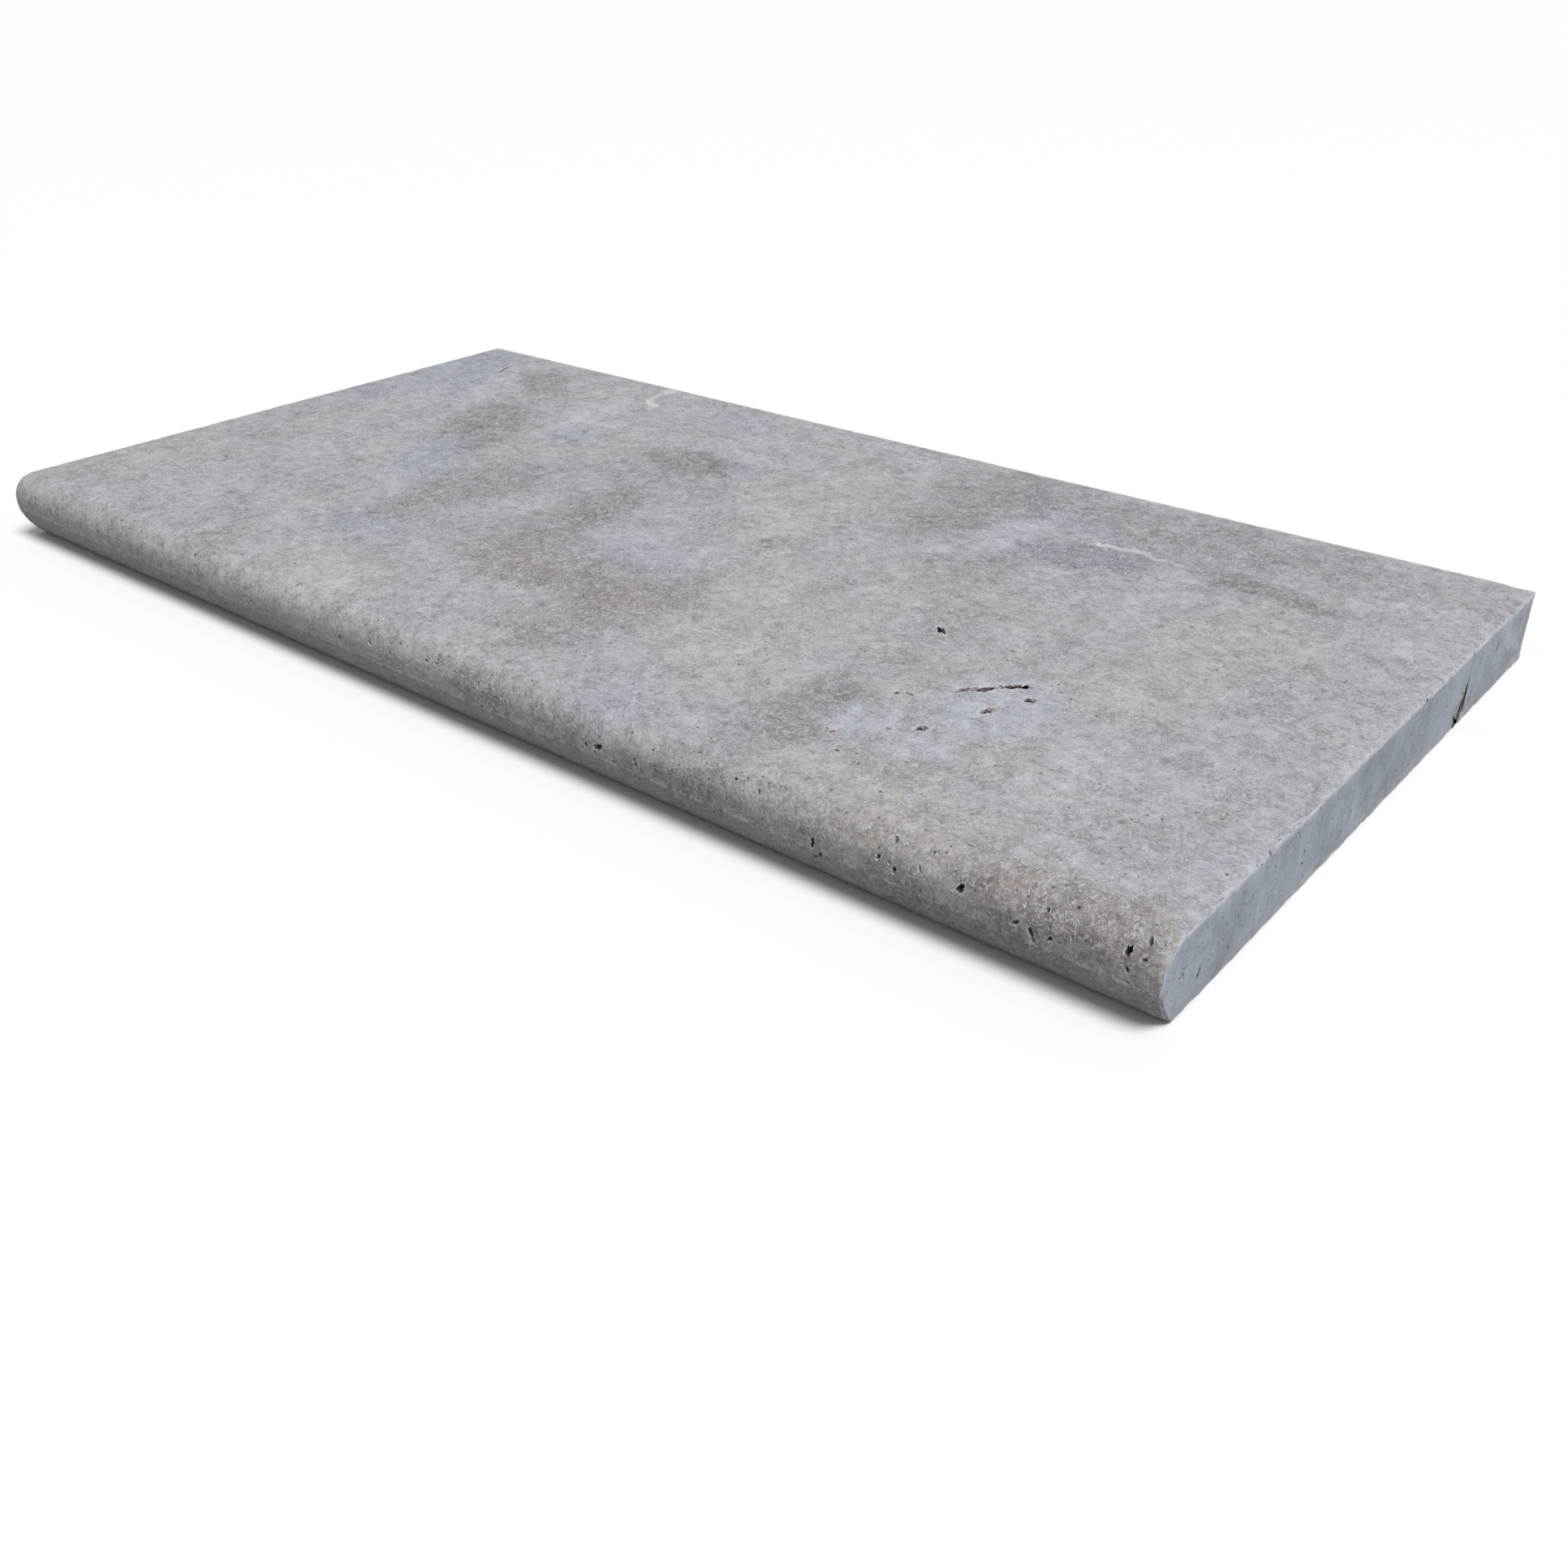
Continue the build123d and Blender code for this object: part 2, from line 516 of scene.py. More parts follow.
class Tree:
    """A short hand for building node trees, for geometry and for shaders.

    Attributes:
        tree: The node tree that is filled.
    """

    def __init__(self, tree: bpy.types.NodeTree) -> None:
        """Take the node tree to fill."""
        self.tree = tree

    def add(self, kind: str, inputs: dict | None = None, **settings: object) -> bpy.types.Node:
        """Add a node.

        Args:
            kind: The node's type name.
            inputs: Values or sockets for its inputs, by name or index.
            settings: Properties of the node.

        Returns:
            The new node.
        """
        node = self.tree.nodes.new(kind)
        for key, value in settings.items():
            setattr(node, key, value)
        for key, value in (inputs or {}).items():
            self.feed(node.inputs[key], value)
        return node

    def feed(self, socket: bpy.types.NodeSocket, value: object) -> None:
        """Link a socket into an input, or set the input's own value.

        Args:
            socket: The input.
            value: A socket of another node, or a plain value.
        """
        if isinstance(value, bpy.types.NodeSocket):
            self.tree.links.new(value, socket)
        else:
            socket.default_value = value

    def math(self, operation: str, a: object, b: object = 0.0, c: object = 0.0) -> bpy.types.NodeSocket:
        """A Math node's result."""
        return self.add("ShaderNodeMath", {0: a, 1: b, 2: c}, operation=operation).outputs[0]

    def times(self, first: object, *others: object) -> bpy.types.NodeSocket:
        """The product of some numbers.

        Args:
            first: The first number.
            others: The numbers that it is multiplied by, in order.

        Returns:
            The product.
        """
        for other in others:
            first = self.math("MULTIPLY", first, other)
        return first

    def minus(self, a: object, b: object) -> bpy.types.NodeSocket:
        """The difference of two numbers."""
        return self.math("SUBTRACT", a, b)

    def vector(self, operation: str, a: object, b: object = MIDDLE) -> bpy.types.NodeSocket:
        """A Vector Math node's vector result."""
        return self.add("ShaderNodeVectorMath", {0: a, 1: b}, operation=operation).outputs[0]

    def scaled(self, a: object, factor: object) -> bpy.types.NodeSocket:
        """A vector or a colour times a number."""
        return self.add("ShaderNodeVectorMath", {0: a, "Scale": factor}, operation="SCALE").outputs[0]

    def ramp(self, value: object, low: object, high: object, out: tuple = (0.0, 1.0)) -> bpy.types.NodeSocket:
        """A smooth step from low to high."""
        inputs = {"Value": value, "From Min": low, "From Max": high, "To Min": out[0], "To Max": out[1]}
        return self.add("ShaderNodeMapRange", inputs, interpolation_type="SMOOTHSTEP").outputs[0]

    def layer(
        self, place: object, size: object, detail: float, shift: tuple = MIDDLE, rough: float = 0.5, bend: float = 0.0
    ) -> bpy.types.NodeSocket:
        """One layer of noise.

        Args:
            place: Where it is read.
            size: Size of its grains, in the same unit as the place.
            detail: Number of finer layers in it.
            shift: A shift of the place, so that layers of one size differ.
            rough: Strength of the finer layers.
            bend: How much the grains are bent.

        Returns:
            A value round 0.5.
        """
        inputs = {"Vector": self.vector("ADD", place, shift), "Scale": self.math("DIVIDE", 1.0, size), "Detail": detail}
        return self.add("ShaderNodeTexNoise", {**inputs, "Roughness": rough, "Distortion": bend}).outputs[0]

    def drawn(self, seed: object, low: object, high: object, shift: int) -> bpy.types.NodeSocket:
        """A random number for each instance.

        Args:
            seed: Seed of the tree.
            low: Lowest value.
            high: Highest value.
            shift: Added to the seed, so that two draws differ.

        Returns:
            The number.
        """
        node = self.add("FunctionNodeRandomValue", data_type="FLOAT")
        self.feed(node.inputs[2], low)
        self.feed(node.inputs[3], high)
        self.feed(node.inputs["Seed"], self.math("ADD", seed, float(shift)))
        return node.outputs[1]

    def stored(self, name: object) -> bpy.types.NodeSocket:
        """A value that the mesh stores under a name, for a Geometry Nodes tree."""
        return self.add("GeometryNodeInputNamedAttribute", {"Name": name}, data_type="FLOAT").outputs[0]

    def mix(self, share: object, a: object, b: object) -> bpy.types.NodeSocket:
        """A mix of two colours.

        Args:
            share: Share of the second colour, from 0 to 1.
            a: The first colour.
            b: The second colour.

        Returns:
            The mixed colour.
        """
        node = self.add("ShaderNodeMix", data_type="RGBA")
        for index, value in ((0, share), (6, a), (7, b)):
            self.feed(node.inputs[index], value)
        return node.outputs[2]

    def finished(self, end: bpy.types.Node, geometry: object, material: object) -> bpy.types.NodeTree:
        """End a Geometry Nodes tree: real geometry with its material goes to the output.

        Args:
            end: The group's output node.
            geometry: The geometry.
            material: Its material.

        Returns:
            The finished tree.
        """
        dressed = self.add("GeometryNodeSetMaterial", {0: geometry, "Material": material})
        self.feed(end.inputs[0], dressed.outputs[0])
        return self.tree


def new_group(
    name: str, kind: str, inputs: dict[str, object], outputs: dict[str, Socket]
) -> tuple[Tree, bpy.types.Node, bpy.types.Node]:
    """Make a node group with named sockets.

    Args:
        name: The group's name.
        kind: ShaderNodeTree or GeometryNodeTree.
        inputs: For each input its kind of socket, or its default value, which gives the kind away.
        outputs: The kind of socket of each output.

    Returns:
        The tree's builder, its input node and its output node.
    """
    kinds = {float: Socket.NUMBER, int: Socket.WHOLE, tuple: Socket.VECTOR}
    group = bpy.data.node_groups.new(name, kind)
    for label, value in inputs.items():
        socket_kind = value if isinstance(value, Socket) else kinds[type(value)]
        socket = group.interface.new_socket(label, in_out="INPUT", socket_type=socket_kind.value)
        if value is not socket_kind:
            socket.default_value = value
    for label, socket_kind in outputs.items():
        group.interface.new_socket(label, in_out="OUTPUT", socket_type=socket_kind.value)
    tree = Tree(group)
    return tree, tree.add("NodeGroupInput"), tree.add("NodeGroupOutput")


def run_tree(target: bpy.types.Object, group: bpy.types.NodeTree, values: dict[str, object]) -> bpy.types.Mesh:
    """Run a Geometry Nodes tree on an object and give back the result as a plain mesh.

    Args:
        target: The object that the tree starts from. It keeps its own mesh.
        group: The tree.
        values: Inputs of the tree by name.

    Returns:
        A new mesh.
    """
    modifier = target.modifiers.new(group.name, "NODES")
    modifier.node_group = group
    for item in group.interface.items_tree:
        if item.item_type == "SOCKET" and item.in_out == "INPUT" and item.name in values:
            modifier[item.identifier] = values[item.name]
    bpy.context.view_layer.update()
    shown = target.evaluated_get(bpy.context.evaluated_depsgraph_get())
    mesh = bpy.data.meshes.new_from_object(shown)
    target.modifiers.remove(modifier)
    return mesh


@dataclass
class Tumbling:
    """The tumbling barrel's work: slow waves on the faces, dents and bitten arrises, all cut inwards.

    Attributes:
        wave_depth_mm: Depth of the slow waves.
        wave_size_mm: Length of the slow waves.
        bite_depth_mm: Depth of the even wear of the arrises.
        bite_size_mm: Length of that wear.
        chip_depth_mm: Depth of the chips out of the arrises.
        chip_size_mm: Length of the chips.
        chip_band: Noise at which a chip begins, and at which it is full.
        chip_hold: How fast the chips end away from an arris.
    """

    wave_depth_mm: float = 0.28
    wave_size_mm: float = 55.0
    bite_depth_mm: float = 1.5
    bite_size_mm: float = 4.5
    chip_depth_mm: float = 2.6
    chip_size_mm: float = 9.0
    chip_band: tuple[float, float] = (0.56, 0.72)
    chip_hold: float = 1.5

    def tree(self) -> bpy.types.NodeTree:
        """Build the tree that moves each point inwards along its normal.

        Returns:
            The tree, with each depth and size as an input.
        """
        measures = {f"{part} {measure}": 1.0 for part in ("Wave", "Bite", "Chip") for measure in ("Depth", "Size")}
        tree, start, end = new_group(
            "tumbling",
            "GeometryNodeTree",
            {"Geometry": Socket.GEOMETRY, **measures, "Material": Socket.MATERIAL},
            {"Geometry": Socket.GEOMETRY},
        )
        given = start.outputs
        place = tree.add("GeometryNodeInputPosition").outputs[0]
        normal = tree.add("GeometryNodeInputNormal").outputs[0]
        arris = tree.stored("arris")
        wave = tree.times(tree.layer(place, given["Wave Size"], 2.0), given["Wave Depth"])
        bite = tree.times(tree.layer(place, given["Bite Size"], 4.0, (1.7, -1.7, 3.4)), given["Bite Depth"], arris)
        chipped = tree.ramp(tree.layer(place, given["Chip Size"], 3.0, (5.3, -5.3, 10.6)), *self.chip_band)
        chip = tree.times(chipped, given["Chip Depth"], tree.math("POWER", arris, self.chip_hold))
        total = tree.math("ADD", wave, tree.math("ADD", bite, chip))
        inward = tree.scaled(normal, tree.times(total, -1.0))
        moved = tree.add("GeometryNodeSetPosition", {"Geometry": given["Geometry"], "Offset": inward})
        real = tree.add("GeometryNodeRealizeInstances", {0: moved.outputs[0]})
        return tree.finished(end, real.outputs[0], given["Material"])

    def wear(self, slab: bpy.types.Object, material: bpy.types.Material) -> None:
        """Tumble the slab.

        Args:
            slab: The slab, with its arris attribute painted.
            material: The finish of its faces.
        """
        values = {
            "Wave Depth": self.wave_depth_mm * MM,
            "Wave Size": self.wave_size_mm * MM,
            "Bite Depth": self.bite_depth_mm * MM,
            "Bite Size": self.bite_size_mm * MM,
            "Chip Depth": self.chip_depth_mm * MM,
            "Chip Size": self.chip_size_mm * MM,
            "Material": material,
        }
        slab.data = run_tree(slab, self.tree(), values)


@dataclass(frozen=True)
class Void:
    """One natural void at a listed place.

    Attributes:
        face: The side that it opens in.
        from_end: Distance from the right end, or from the nose on the end face, in millimetres.
        place: Distance from the nose on the top, or below the top on the nose and the end.
        long: Length of its mouth.
        wide: Width of its mouth.
        deep: Its depth.
        turn: Turn of its length in its face, in degrees.
        taper: How much its width drops towards its upper end, from 0 to 1.
    """

    face: Face
    from_end: float
    place: float
    long: float
    wide: float
    deep: float
    turn: float
    taper: float = 0.0


STATED_VOIDS = [
    Void(Face.TOP, 122, 99, 10.5, 3.2, 2.6, 52),
    Void(Face.TOP, 115, 107, 7.5, 3.4, 4.5, 44),
    Void(Face.TOP, 105, 101, 4.8, 3.4, 3.2, 20),
    Void(Face.TOP, 112, 86, 5.2, 3.8, 2.4, 75),
    Void(Face.TOP, 162, 130, 6.4, 2.8, 5.5, 140),
    Void(Face.TOP, 122, 62, 4.4, 3.2, 2.8, 35),
    Void(Face.NOSE, 212, 11.5, 4.2, 2.6, 2.0, 25),
    Void(Face.NOSE, 119, 13.0, 4.4, 1.6, 2.6, 82),
    Void(Face.NOSE, 65, 7.5, 3.2, 2.4, 2.8, 60),
    Void(Face.NOSE, 12, 5.5, 4.6, 1.9, 3.2, 80),
    Void(Face.END, 233, 21.0, 24.0, 9.0, 3.4, 78, 0.95),
    Void(Face.END, 23, 20.5, 5.0, 1.7, 2.6, 70),
]

TOP_SMALL_VOIDS = [
    (144, 42, 2.8, 2.0), (135, 33, 2.4, 1.7), (144, 78, 3.6, 1.8), (140, 80, 4.2, 1.6), (155, 136, 1.6, 1.1),
    (162, 147, 1.4, 1.0), (198, 270, 2.6, 1.5), (193, 253, 2.2, 1.3), (131, 148, 1.5, 1.1), (90, 190, 2.0, 1.3),
    (88, 198, 1.7, 1.1), (13, 171, 1.5, 1.0), (35, 37, 1.5, 1.0), (33, 59, 1.4, 1.1), (18, 77, 1.6, 1.1),
    (360, 238, 1.8, 1.2), (337, 247, 2.6, 1.4), (354, 251, 2.2, 1.3), (242, 63, 1.8, 1.0), (200, 85, 1.2, 0.9),
    (220, 26, 2.0, 1.3), (213, 22, 1.7, 1.2), (194, 25, 1.6, 1.2), (474, 36, 2.8, 1.9), (435, 27, 1.9, 1.2),
    (568, 114, 2.4, 1.4), (104, 118, 2.4, 1.2), (97, 122, 1.9, 0.9), (108, 92, 1.7, 1.3), (124, 30, 2.0, 1.5),
    (108, 20, 1.8, 1.3), (5, 44, 1.8, 1.2), (131, 55, 2.4, 1.4), (76, 60, 2.2, 1.0),
]

NOSE_SMALL_VOIDS = [
    (458, 3.4, 3.0, 2.0), (415, 11.8, 2.6, 1.3), (407, 14.9, 2.0, 1.2), (368, 14.9, 1.8, 1.2), (355, 11.3, 2.2, 1.4),
    (336, 8.3, 2.6, 1.9), (303, 6.1, 1.8, 1.3), (297, 4.5, 1.8, 1.2), (218, 12.3, 2.6, 1.6), (152, 3.5, 2.0, 1.5),
    (142, 4.2, 2.2, 1.5), (110, 19.3, 3.0, 1.6), (94, 8.2, 2.6, 1.6), (88, 10.4, 3.2, 1.8), (46, 10.7, 3.4, 1.7),
    (41, 11.9, 3.8, 2.0), (35, 11.4, 3.0, 1.6), (7, 6.2, 2.4, 1.4), (11, 10.6, 2.6, 1.6), (272, 15.0, 2.0, 1.4),
    (319, 4.4, 1.8, 1.3), (287, 6.1, 1.8, 1.2), (30, 1.4, 2.0, 1.3), (42, 17.0, 2.4, 1.3), (77, 2.1, 1.9, 1.4),
]

END_SMALL_VOIDS = [
    (12, 15.3, 5.0, 1.4), (80, 7.8, 2.8, 1.5), (122, 23.6, 5.6, 1.4), (97, 7.4, 2.2, 1.1), (76, 5.7, 2.0, 1.0),
    (83, 4.3, 1.9, 1.0), (37, 26.5, 2.0, 0.9), (42, 22.8, 2.4, 1.2), (44, 21.0, 1.8, 0.9), (40, 24.2, 1.8, 0.9),
    (51, 12.8, 2.2, 1.0), (160, 9.0, 2.0, 0.9), (190, 14.5, 2.4, 0.9), (215, 8.0, 1.8, 0.8), (262, 11.0, 2.2, 0.9),
    (283, 20.0, 2.6, 1.0),
]


OTHER_VOIDS = [
    Void(Face.TOP, 570, 274, 19.0, 2.0, 2.0, 108),
    Void(Face.END, 229, 29.0, 8.0, 4.5, 2.2, 10),
    Void(Face.TOP, 127, 95, 6.0, 2.2, 1.4, 50),
    Void(Face.TOP, 111, 109, 4.0, 1.8, 1.6, 40),
]


@dataclass(frozen=True)
class SmallVoids:
    """The listed small voids of one face.

    Attributes:
        face: The face.
        rows: Distance from the end, place, length and width of each.
        turn: Their mean turn in degrees.
        spread: Spread of that turn.
        share: Share of the noted length and width that is cut.
    """

    face: Face
    rows: list[tuple[float, float, float, float]]
    turn: float
    spread: float
    share: float = 0.95

    def voids(self) -> list[Void]:
        """The voids, with depths and turns that follow their sizes.

        Returns:
            One void for each row.
        """
        voids = []
        for number, (from_end, place, long, wide) in enumerate(self.rows):
            turn = self.turn + self.spread * math.sin(2.4 * number + long)
            deep = 0.8 * wide + 0.2
            voids.append(Void(self.face, from_end, place, self.share * long, self.share * wide, deep, turn))
        return voids


def hand_placed() -> list[Void]:
    """All listed voids, the stated ones first.

    Returns:
        The voids, in the order of their seeds.
    """
    small = (
        SmallVoids(Face.TOP, TOP_SMALL_VOIDS, 45, 60),
        SmallVoids(Face.NOSE, NOSE_SMALL_VOIDS, 70, 45, 0.88),
        SmallVoids(Face.END, END_SMALL_VOIDS, 72, 14),
    )
    return STATED_VOIDS + OTHER_VOIDS + [void for group in small for void in group.voids()]


@dataclass(frozen=True)
class VoidZone:
    """A part of the stone with its own kind of scattered voids.

    Attributes:
        share_name: Attribute that holds the zone's share.
        per_square_m: Voids for each square metre at full share.
        smallest_mm: Size of the smallest mouths.
        largest_mm: Size of the largest mouths.
        cluster_size_mm: Distance between clusters.
        slenderness: Greatest length over width.
        turn: Mean turn of the mouths in degrees.
        turn_spread: Spread of that turn in degrees.
        seed: Seed of the scatter.
    """

    share_name: str
    per_square_m: float
    smallest_mm: float
    largest_mm: float
    cluster_size_mm: float = 20.0
    slenderness: float = 1.8
    turn: float = 0.0
    turn_spread: float = 180.0
    seed: int = SEED


VOID_ZONES = [
    VoidZone("nose_share", 40000.0, 0.6, 2.2, 18.0, 2.0, 90.0, 40.0, 41),
    VoidZone("top_share", 6000.0, 0.45, 1.4, 30.0, 1.9, 0.0, 180.0, 42),
    VoidZone("end_share", 30000.0, 0.5, 2.2, 14.0, 3.0, 72.0, 16.0, 43),
    VoidZone("back_share", 4500.0, 0.6, 2.4, 22.0, 2.0, 0.0, 180.0, 44),
]


@dataclass
class NaturalVoids:
    """The open voids of the travertine: the listed ones, and the scattered rest.

    Attributes:
        size: Sizes of the stone.
        lumps: Strength and fineness of each layer of unevenness in a void's outline.
        floor_lumps: Strength and fineness of the unevenness of its floor.
        fine_from_mm: Length from which a void gets the finer outline.
        rim_from_mm: Length from which a void gets a worn rim.
        rim_spread: Width of a rim, as a share of the void's.
        rim_deep_mm: Depth of a rim.
        clusters: Noise at which a cluster begins, and at which it is full.
        between: Share of the voids that lie between the clusters.
        small_bias: How strongly small voids outnumber large ones.
        narrowest: Least width of a scattered void, as a share of its size.
        depths: Least and greatest depth, as shares of its size.
        ragged: Raggedness of its outline, as a share of the smallest size.
        ragged_per_m: Fineness of that raggedness.
    """

    size: StoneSize
    lumps: tuple = ((0.5, 1.3), (0.4, 3.1), (0.26, 7.0))
    floor_lumps: tuple[float, float] = (0.5, 3.0)
    fine_from_mm: float = 4.0
    rim_from_mm: float = 2.2
    rim_spread: float = 1.45
    rim_deep_mm: float = 0.4
    clusters: tuple[float, float] = (0.46, 0.68)
    between: float = 0.12
    small_bias: float = 3.0
    narrowest: float = 0.55
    depths: tuple[float, float] = (0.8, 1.5)
    ragged: float = 1.1
    ragged_per_m: float = 900.0

    def plane(self, void: Void) -> Matrix:
        """The void's own frame: X along its mouth and Z out of the stone.

        Args:
            void: The void.

        Returns:
            The frame, in millimetres.
        """
        s = self.size
        length, depth, height = Vector((1, 0, 0)), Vector((0, 1, 0)), Vector((0, 0, 1))
        if void.face is Face.TOP:
            middle = (s.half_length_mm - void.from_end, s.front_mm + void.place, s.thickness_mm)
            axes = (length, depth, height)
        elif void.face is Face.NOSE:
            rise = max(s.nose_top_radius_mm - void.place, 0)
            lean = math.asin(rise / s.nose_top_radius_mm)
            y = s.round_centre_y_mm - s.nose_top_radius_mm * math.cos(lean)
            middle = (s.half_length_mm - void.from_end, y, s.thickness_mm - void.place)
            out = Vector((0, -math.cos(lean), math.sin(lean)))
            axes = (length, out.cross(length), out)
        else:
            middle = (s.half_length_mm, s.front_mm + void.from_end, s.thickness_mm - void.place)
            axes = (depth, height, length)
        frame = Matrix(axes).transposed().to_4x4()
        frame.translation = middle
        return frame @ Matrix.Rotation(math.radians(void.turn), 4, "Z")

    def pod(self, void: Void, seed: int, spread: float, deep: float) -> tuple[list[Vector], list[tuple[int, ...]]]:
        """The cutter of one void: an uneven pod with a ragged outline.

        Args:
            void: The void.
            seed: Seed of its unevenness.
            spread: How much its mouth is wider than the void's.
            deep: Its depth in millimetres.

        Returns:
            Its points in metres and its faces.
        """
        work = bmesh.new()
        bmesh.ops.create_icosphere(work, subdivisions=4 if void.long > self.fine_from_mm else 3, radius=1.0)
        frame = self.plane(void)
        shift = Vector((seed * 3.7, seed * 1.3, seed * 2.1))
        strength, fine = self.floor_lumps
        proud = max(0.5 * deep, 0.8)
        points = []
        for vert in work.verts:
            x, y, z = vert.co
            swell = 1.0
            for lump, lump_fine in self.lumps:
                swell += lump * noise.noise(vert.co * lump_fine + shift)
            floor = 1 + strength * noise.noise(Vector((fine * x, fine * y, 0)) + shift)
            narrow = 1 - void.taper * (0.5 + 0.5 * x)
            local = Vector((void.long / 2 * x * swell, void.wide / 2 * y * swell * narrow, 0)) * spread
            local.z = deep * floor * z if z < 0 else proud * z
            points.append((frame @ local) * MM)
        work.verts.ensure_lookup_table()
        faces = [tuple(v.index for v in f.verts) for f in work.faces]
        work.free()
        return points, faces

    def placed(self, material: bpy.types.Material, rims: bool) -> bpy.types.Mesh:
        """The listed voids, as one mesh of cutters.

        Args:
            material: Their lining.
            rims: Whether to make the shallow worn rims instead of the voids.

        Returns:
            The mesh.
        """
        points: list[Vector] = []
        faces: list[tuple[int, ...]] = []
        for number, void in enumerate(hand_placed()):
            if rims and void.long < self.rim_from_mm:
                continue
            spread, deep = (self.rim_spread, self.rim_deep_mm) if rims else (1.0, void.deep)
            pod, sides = self.pod(void, SEED + number, spread, deep)
            faces += [tuple(len(points) + i for i in side) for side in sides]
            points += pod
        mesh = bpy.data.meshes.new("placed_voids")
        mesh.from_pydata([tuple(p) for p in points], [], faces)
        mesh.materials.append(material)
        return mesh

    def tree(self) -> bpy.types.NodeTree:
        """Build the tree that scatters small pods over the stone.

        Returns:
            The tree, with the zone's values as its inputs.
        """
        tree, start, end = new_group(
            "scattered_voids",
            "GeometryNodeTree",
            {
                "Geometry": Socket.GEOMETRY,
                "Per Square Metre": 100.0,
                "Smallest": 0.001,
                "Largest": 0.002,
                "Cluster Size": 0.02,
                "Share Name": Socket.TEXT,
                "Slenderness": 1.5,
                "Turn": 0.0,
                "Turn Spread": math.pi,
                "Seed": 0,
                "Material": Socket.MATERIAL,
            },
            {"Geometry": Socket.GEOMETRY},
        )
        given = start.outputs
        place = tree.add("GeometryNodeInputPosition").outputs[0]
        seed = given["Seed"]
        scale = tree.math("DIVIDE", 1.0, given["Cluster Size"])
        cloud = tree.add("ShaderNodeTexNoise", {"Vector": place, "Scale": scale, "Detail": 2.0}).outputs[0]
        cluster = tree.ramp(cloud, *self.clusters, (self.between, 1.0))
        density = tree.times(tree.stored(given["Share Name"]), cluster, given["Per Square Metre"])
        scatter = tree.add(
            "GeometryNodeDistributePointsOnFaces",
            {"Mesh": given["Geometry"], "Density": density, "Seed": seed},
            distribute_method="RANDOM",
        )
        pod = tree.add("GeometryNodeMeshIcoSphere", {"Radius": 1.0, "Subdivisions": 2})
        draw = tree.math("POWER", tree.drawn(seed, 0.0, 1.0, 1), self.small_bias)
        reach = tree.minus(given["Largest"], given["Smallest"])
        half = tree.times(tree.math("MULTIPLY_ADD", draw, reach, given["Smallest"]), 0.5)
        long = tree.times(half, tree.drawn(seed, 1.0, given["Slenderness"], 2))
        wide = tree.times(half, tree.drawn(seed, self.narrowest, 1.0, 3))
        deep = tree.times(half, tree.drawn(seed, *self.depths, 4))
        size = tree.add("ShaderNodeCombineXYZ", {0: long, 1: wide, 2: deep}).outputs[0]
        swing = tree.math("MULTIPLY_ADD", tree.drawn(seed, -1.0, 1.0, 5), given["Turn Spread"], given["Turn"])
        spin = tree.add("FunctionNodeAxisAngleToRotation", {"Axis": (0.0, 0.0, 1.0), "Angle": swing}).outputs[0]
        lie = {0: scatter.outputs["Rotation"], 1: spin}
        turned = tree.add("FunctionNodeRotateRotation", lie, rotation_space="LOCAL").outputs[0]
        pods = tree.add(
            "GeometryNodeInstanceOnPoints",
            {"Points": scatter.outputs["Points"], "Instance": pod.outputs[0], "Rotation": turned, "Scale": size},
        )
        real = tree.add("GeometryNodeRealizeInstances", {0: pods.outputs[0]})
        fine = {"Vector": place, "Scale": self.ragged_per_m, "Detail": 1.0}
        rough = tree.vector("SUBTRACT", tree.add("ShaderNodeTexNoise", fine).outputs[1], (0.5, 0.5, 0.5))
        jitter = tree.scaled(rough, tree.times(given["Smallest"], self.ragged))
        uneven = tree.add("GeometryNodeSetPosition", {"Geometry": real.outputs[0], "Offset": jitter})
        return tree.finished(end, uneven.outputs[0], given["Material"])

    def scattered(
        self, slab: bpy.types.Object, group: bpy.types.NodeTree, zone: VoidZone, material: bpy.types.Material
    ) -> bpy.types.Mesh:
        """The scattered cutters of one zone, from the Geometry Nodes tree.

        Args:
            slab: The stone, with the zone's share painted.
            group: The scatter's tree.
            zone: The zone.
            material: Their lining.

        Returns:
            The mesh of cutters.
        """
        values = {
            "Per Square Metre": zone.per_square_m,
            "Smallest": zone.smallest_mm * MM,
            "Largest": zone.largest_mm * MM,
            "Cluster Size": zone.cluster_size_mm * MM,
            "Share Name": zone.share_name,
            "Slenderness": zone.slenderness,
            "Turn": math.radians(zone.turn),
            "Turn Spread": math.radians(zone.turn_spread),
            "Seed": zone.seed,
            "Material": material,
        }
        return run_tree(slab, group, values)

    def islands(self, work: bmesh.types.BMesh) -> list[list]:
        """Sort a mesh's faces into the islands that hang together.

        Args:
            work: The mesh.

        Returns:
            The islands, the largest last.
        """
        waiting = dict.fromkeys(work.faces)
        islands: list[list] = []
        while waiting:
            island = [waiting.popitem()[0]]
            for face in island:
                for beside in (other for edge in face.edges for other in edge.link_faces if other in waiting):
                    del waiting[beside]
                    island.append(beside)
            islands.append(island)
        return sorted(islands, key=len)

    def drop_crumbs(self, mesh: bpy.types.Mesh) -> None:
        """Remove what the cuts leave loose: faces back to back on the same corners, and crumbs beside the stone.

        Args:
            mesh: The slab's mesh after the cuts.
        """
        work = bmesh.new()
        work.from_mesh(mesh)
        alike: dict[frozenset, list] = {}
        for face in work.faces:
            alike.setdefault(frozenset(corner.index for corner in face.verts), []).append(face)
        flat = [face for faces in alike.values() if len(faces) > 1 for face in faces]
        bmesh.ops.delete(work, geom=flat, context="FACES")
        crumbs = [face for island in self.islands(work)[:-1] for face in island]
        bmesh.ops.delete(work, geom=crumbs, context="FACES")
        work.to_mesh(mesh)
        work.free()

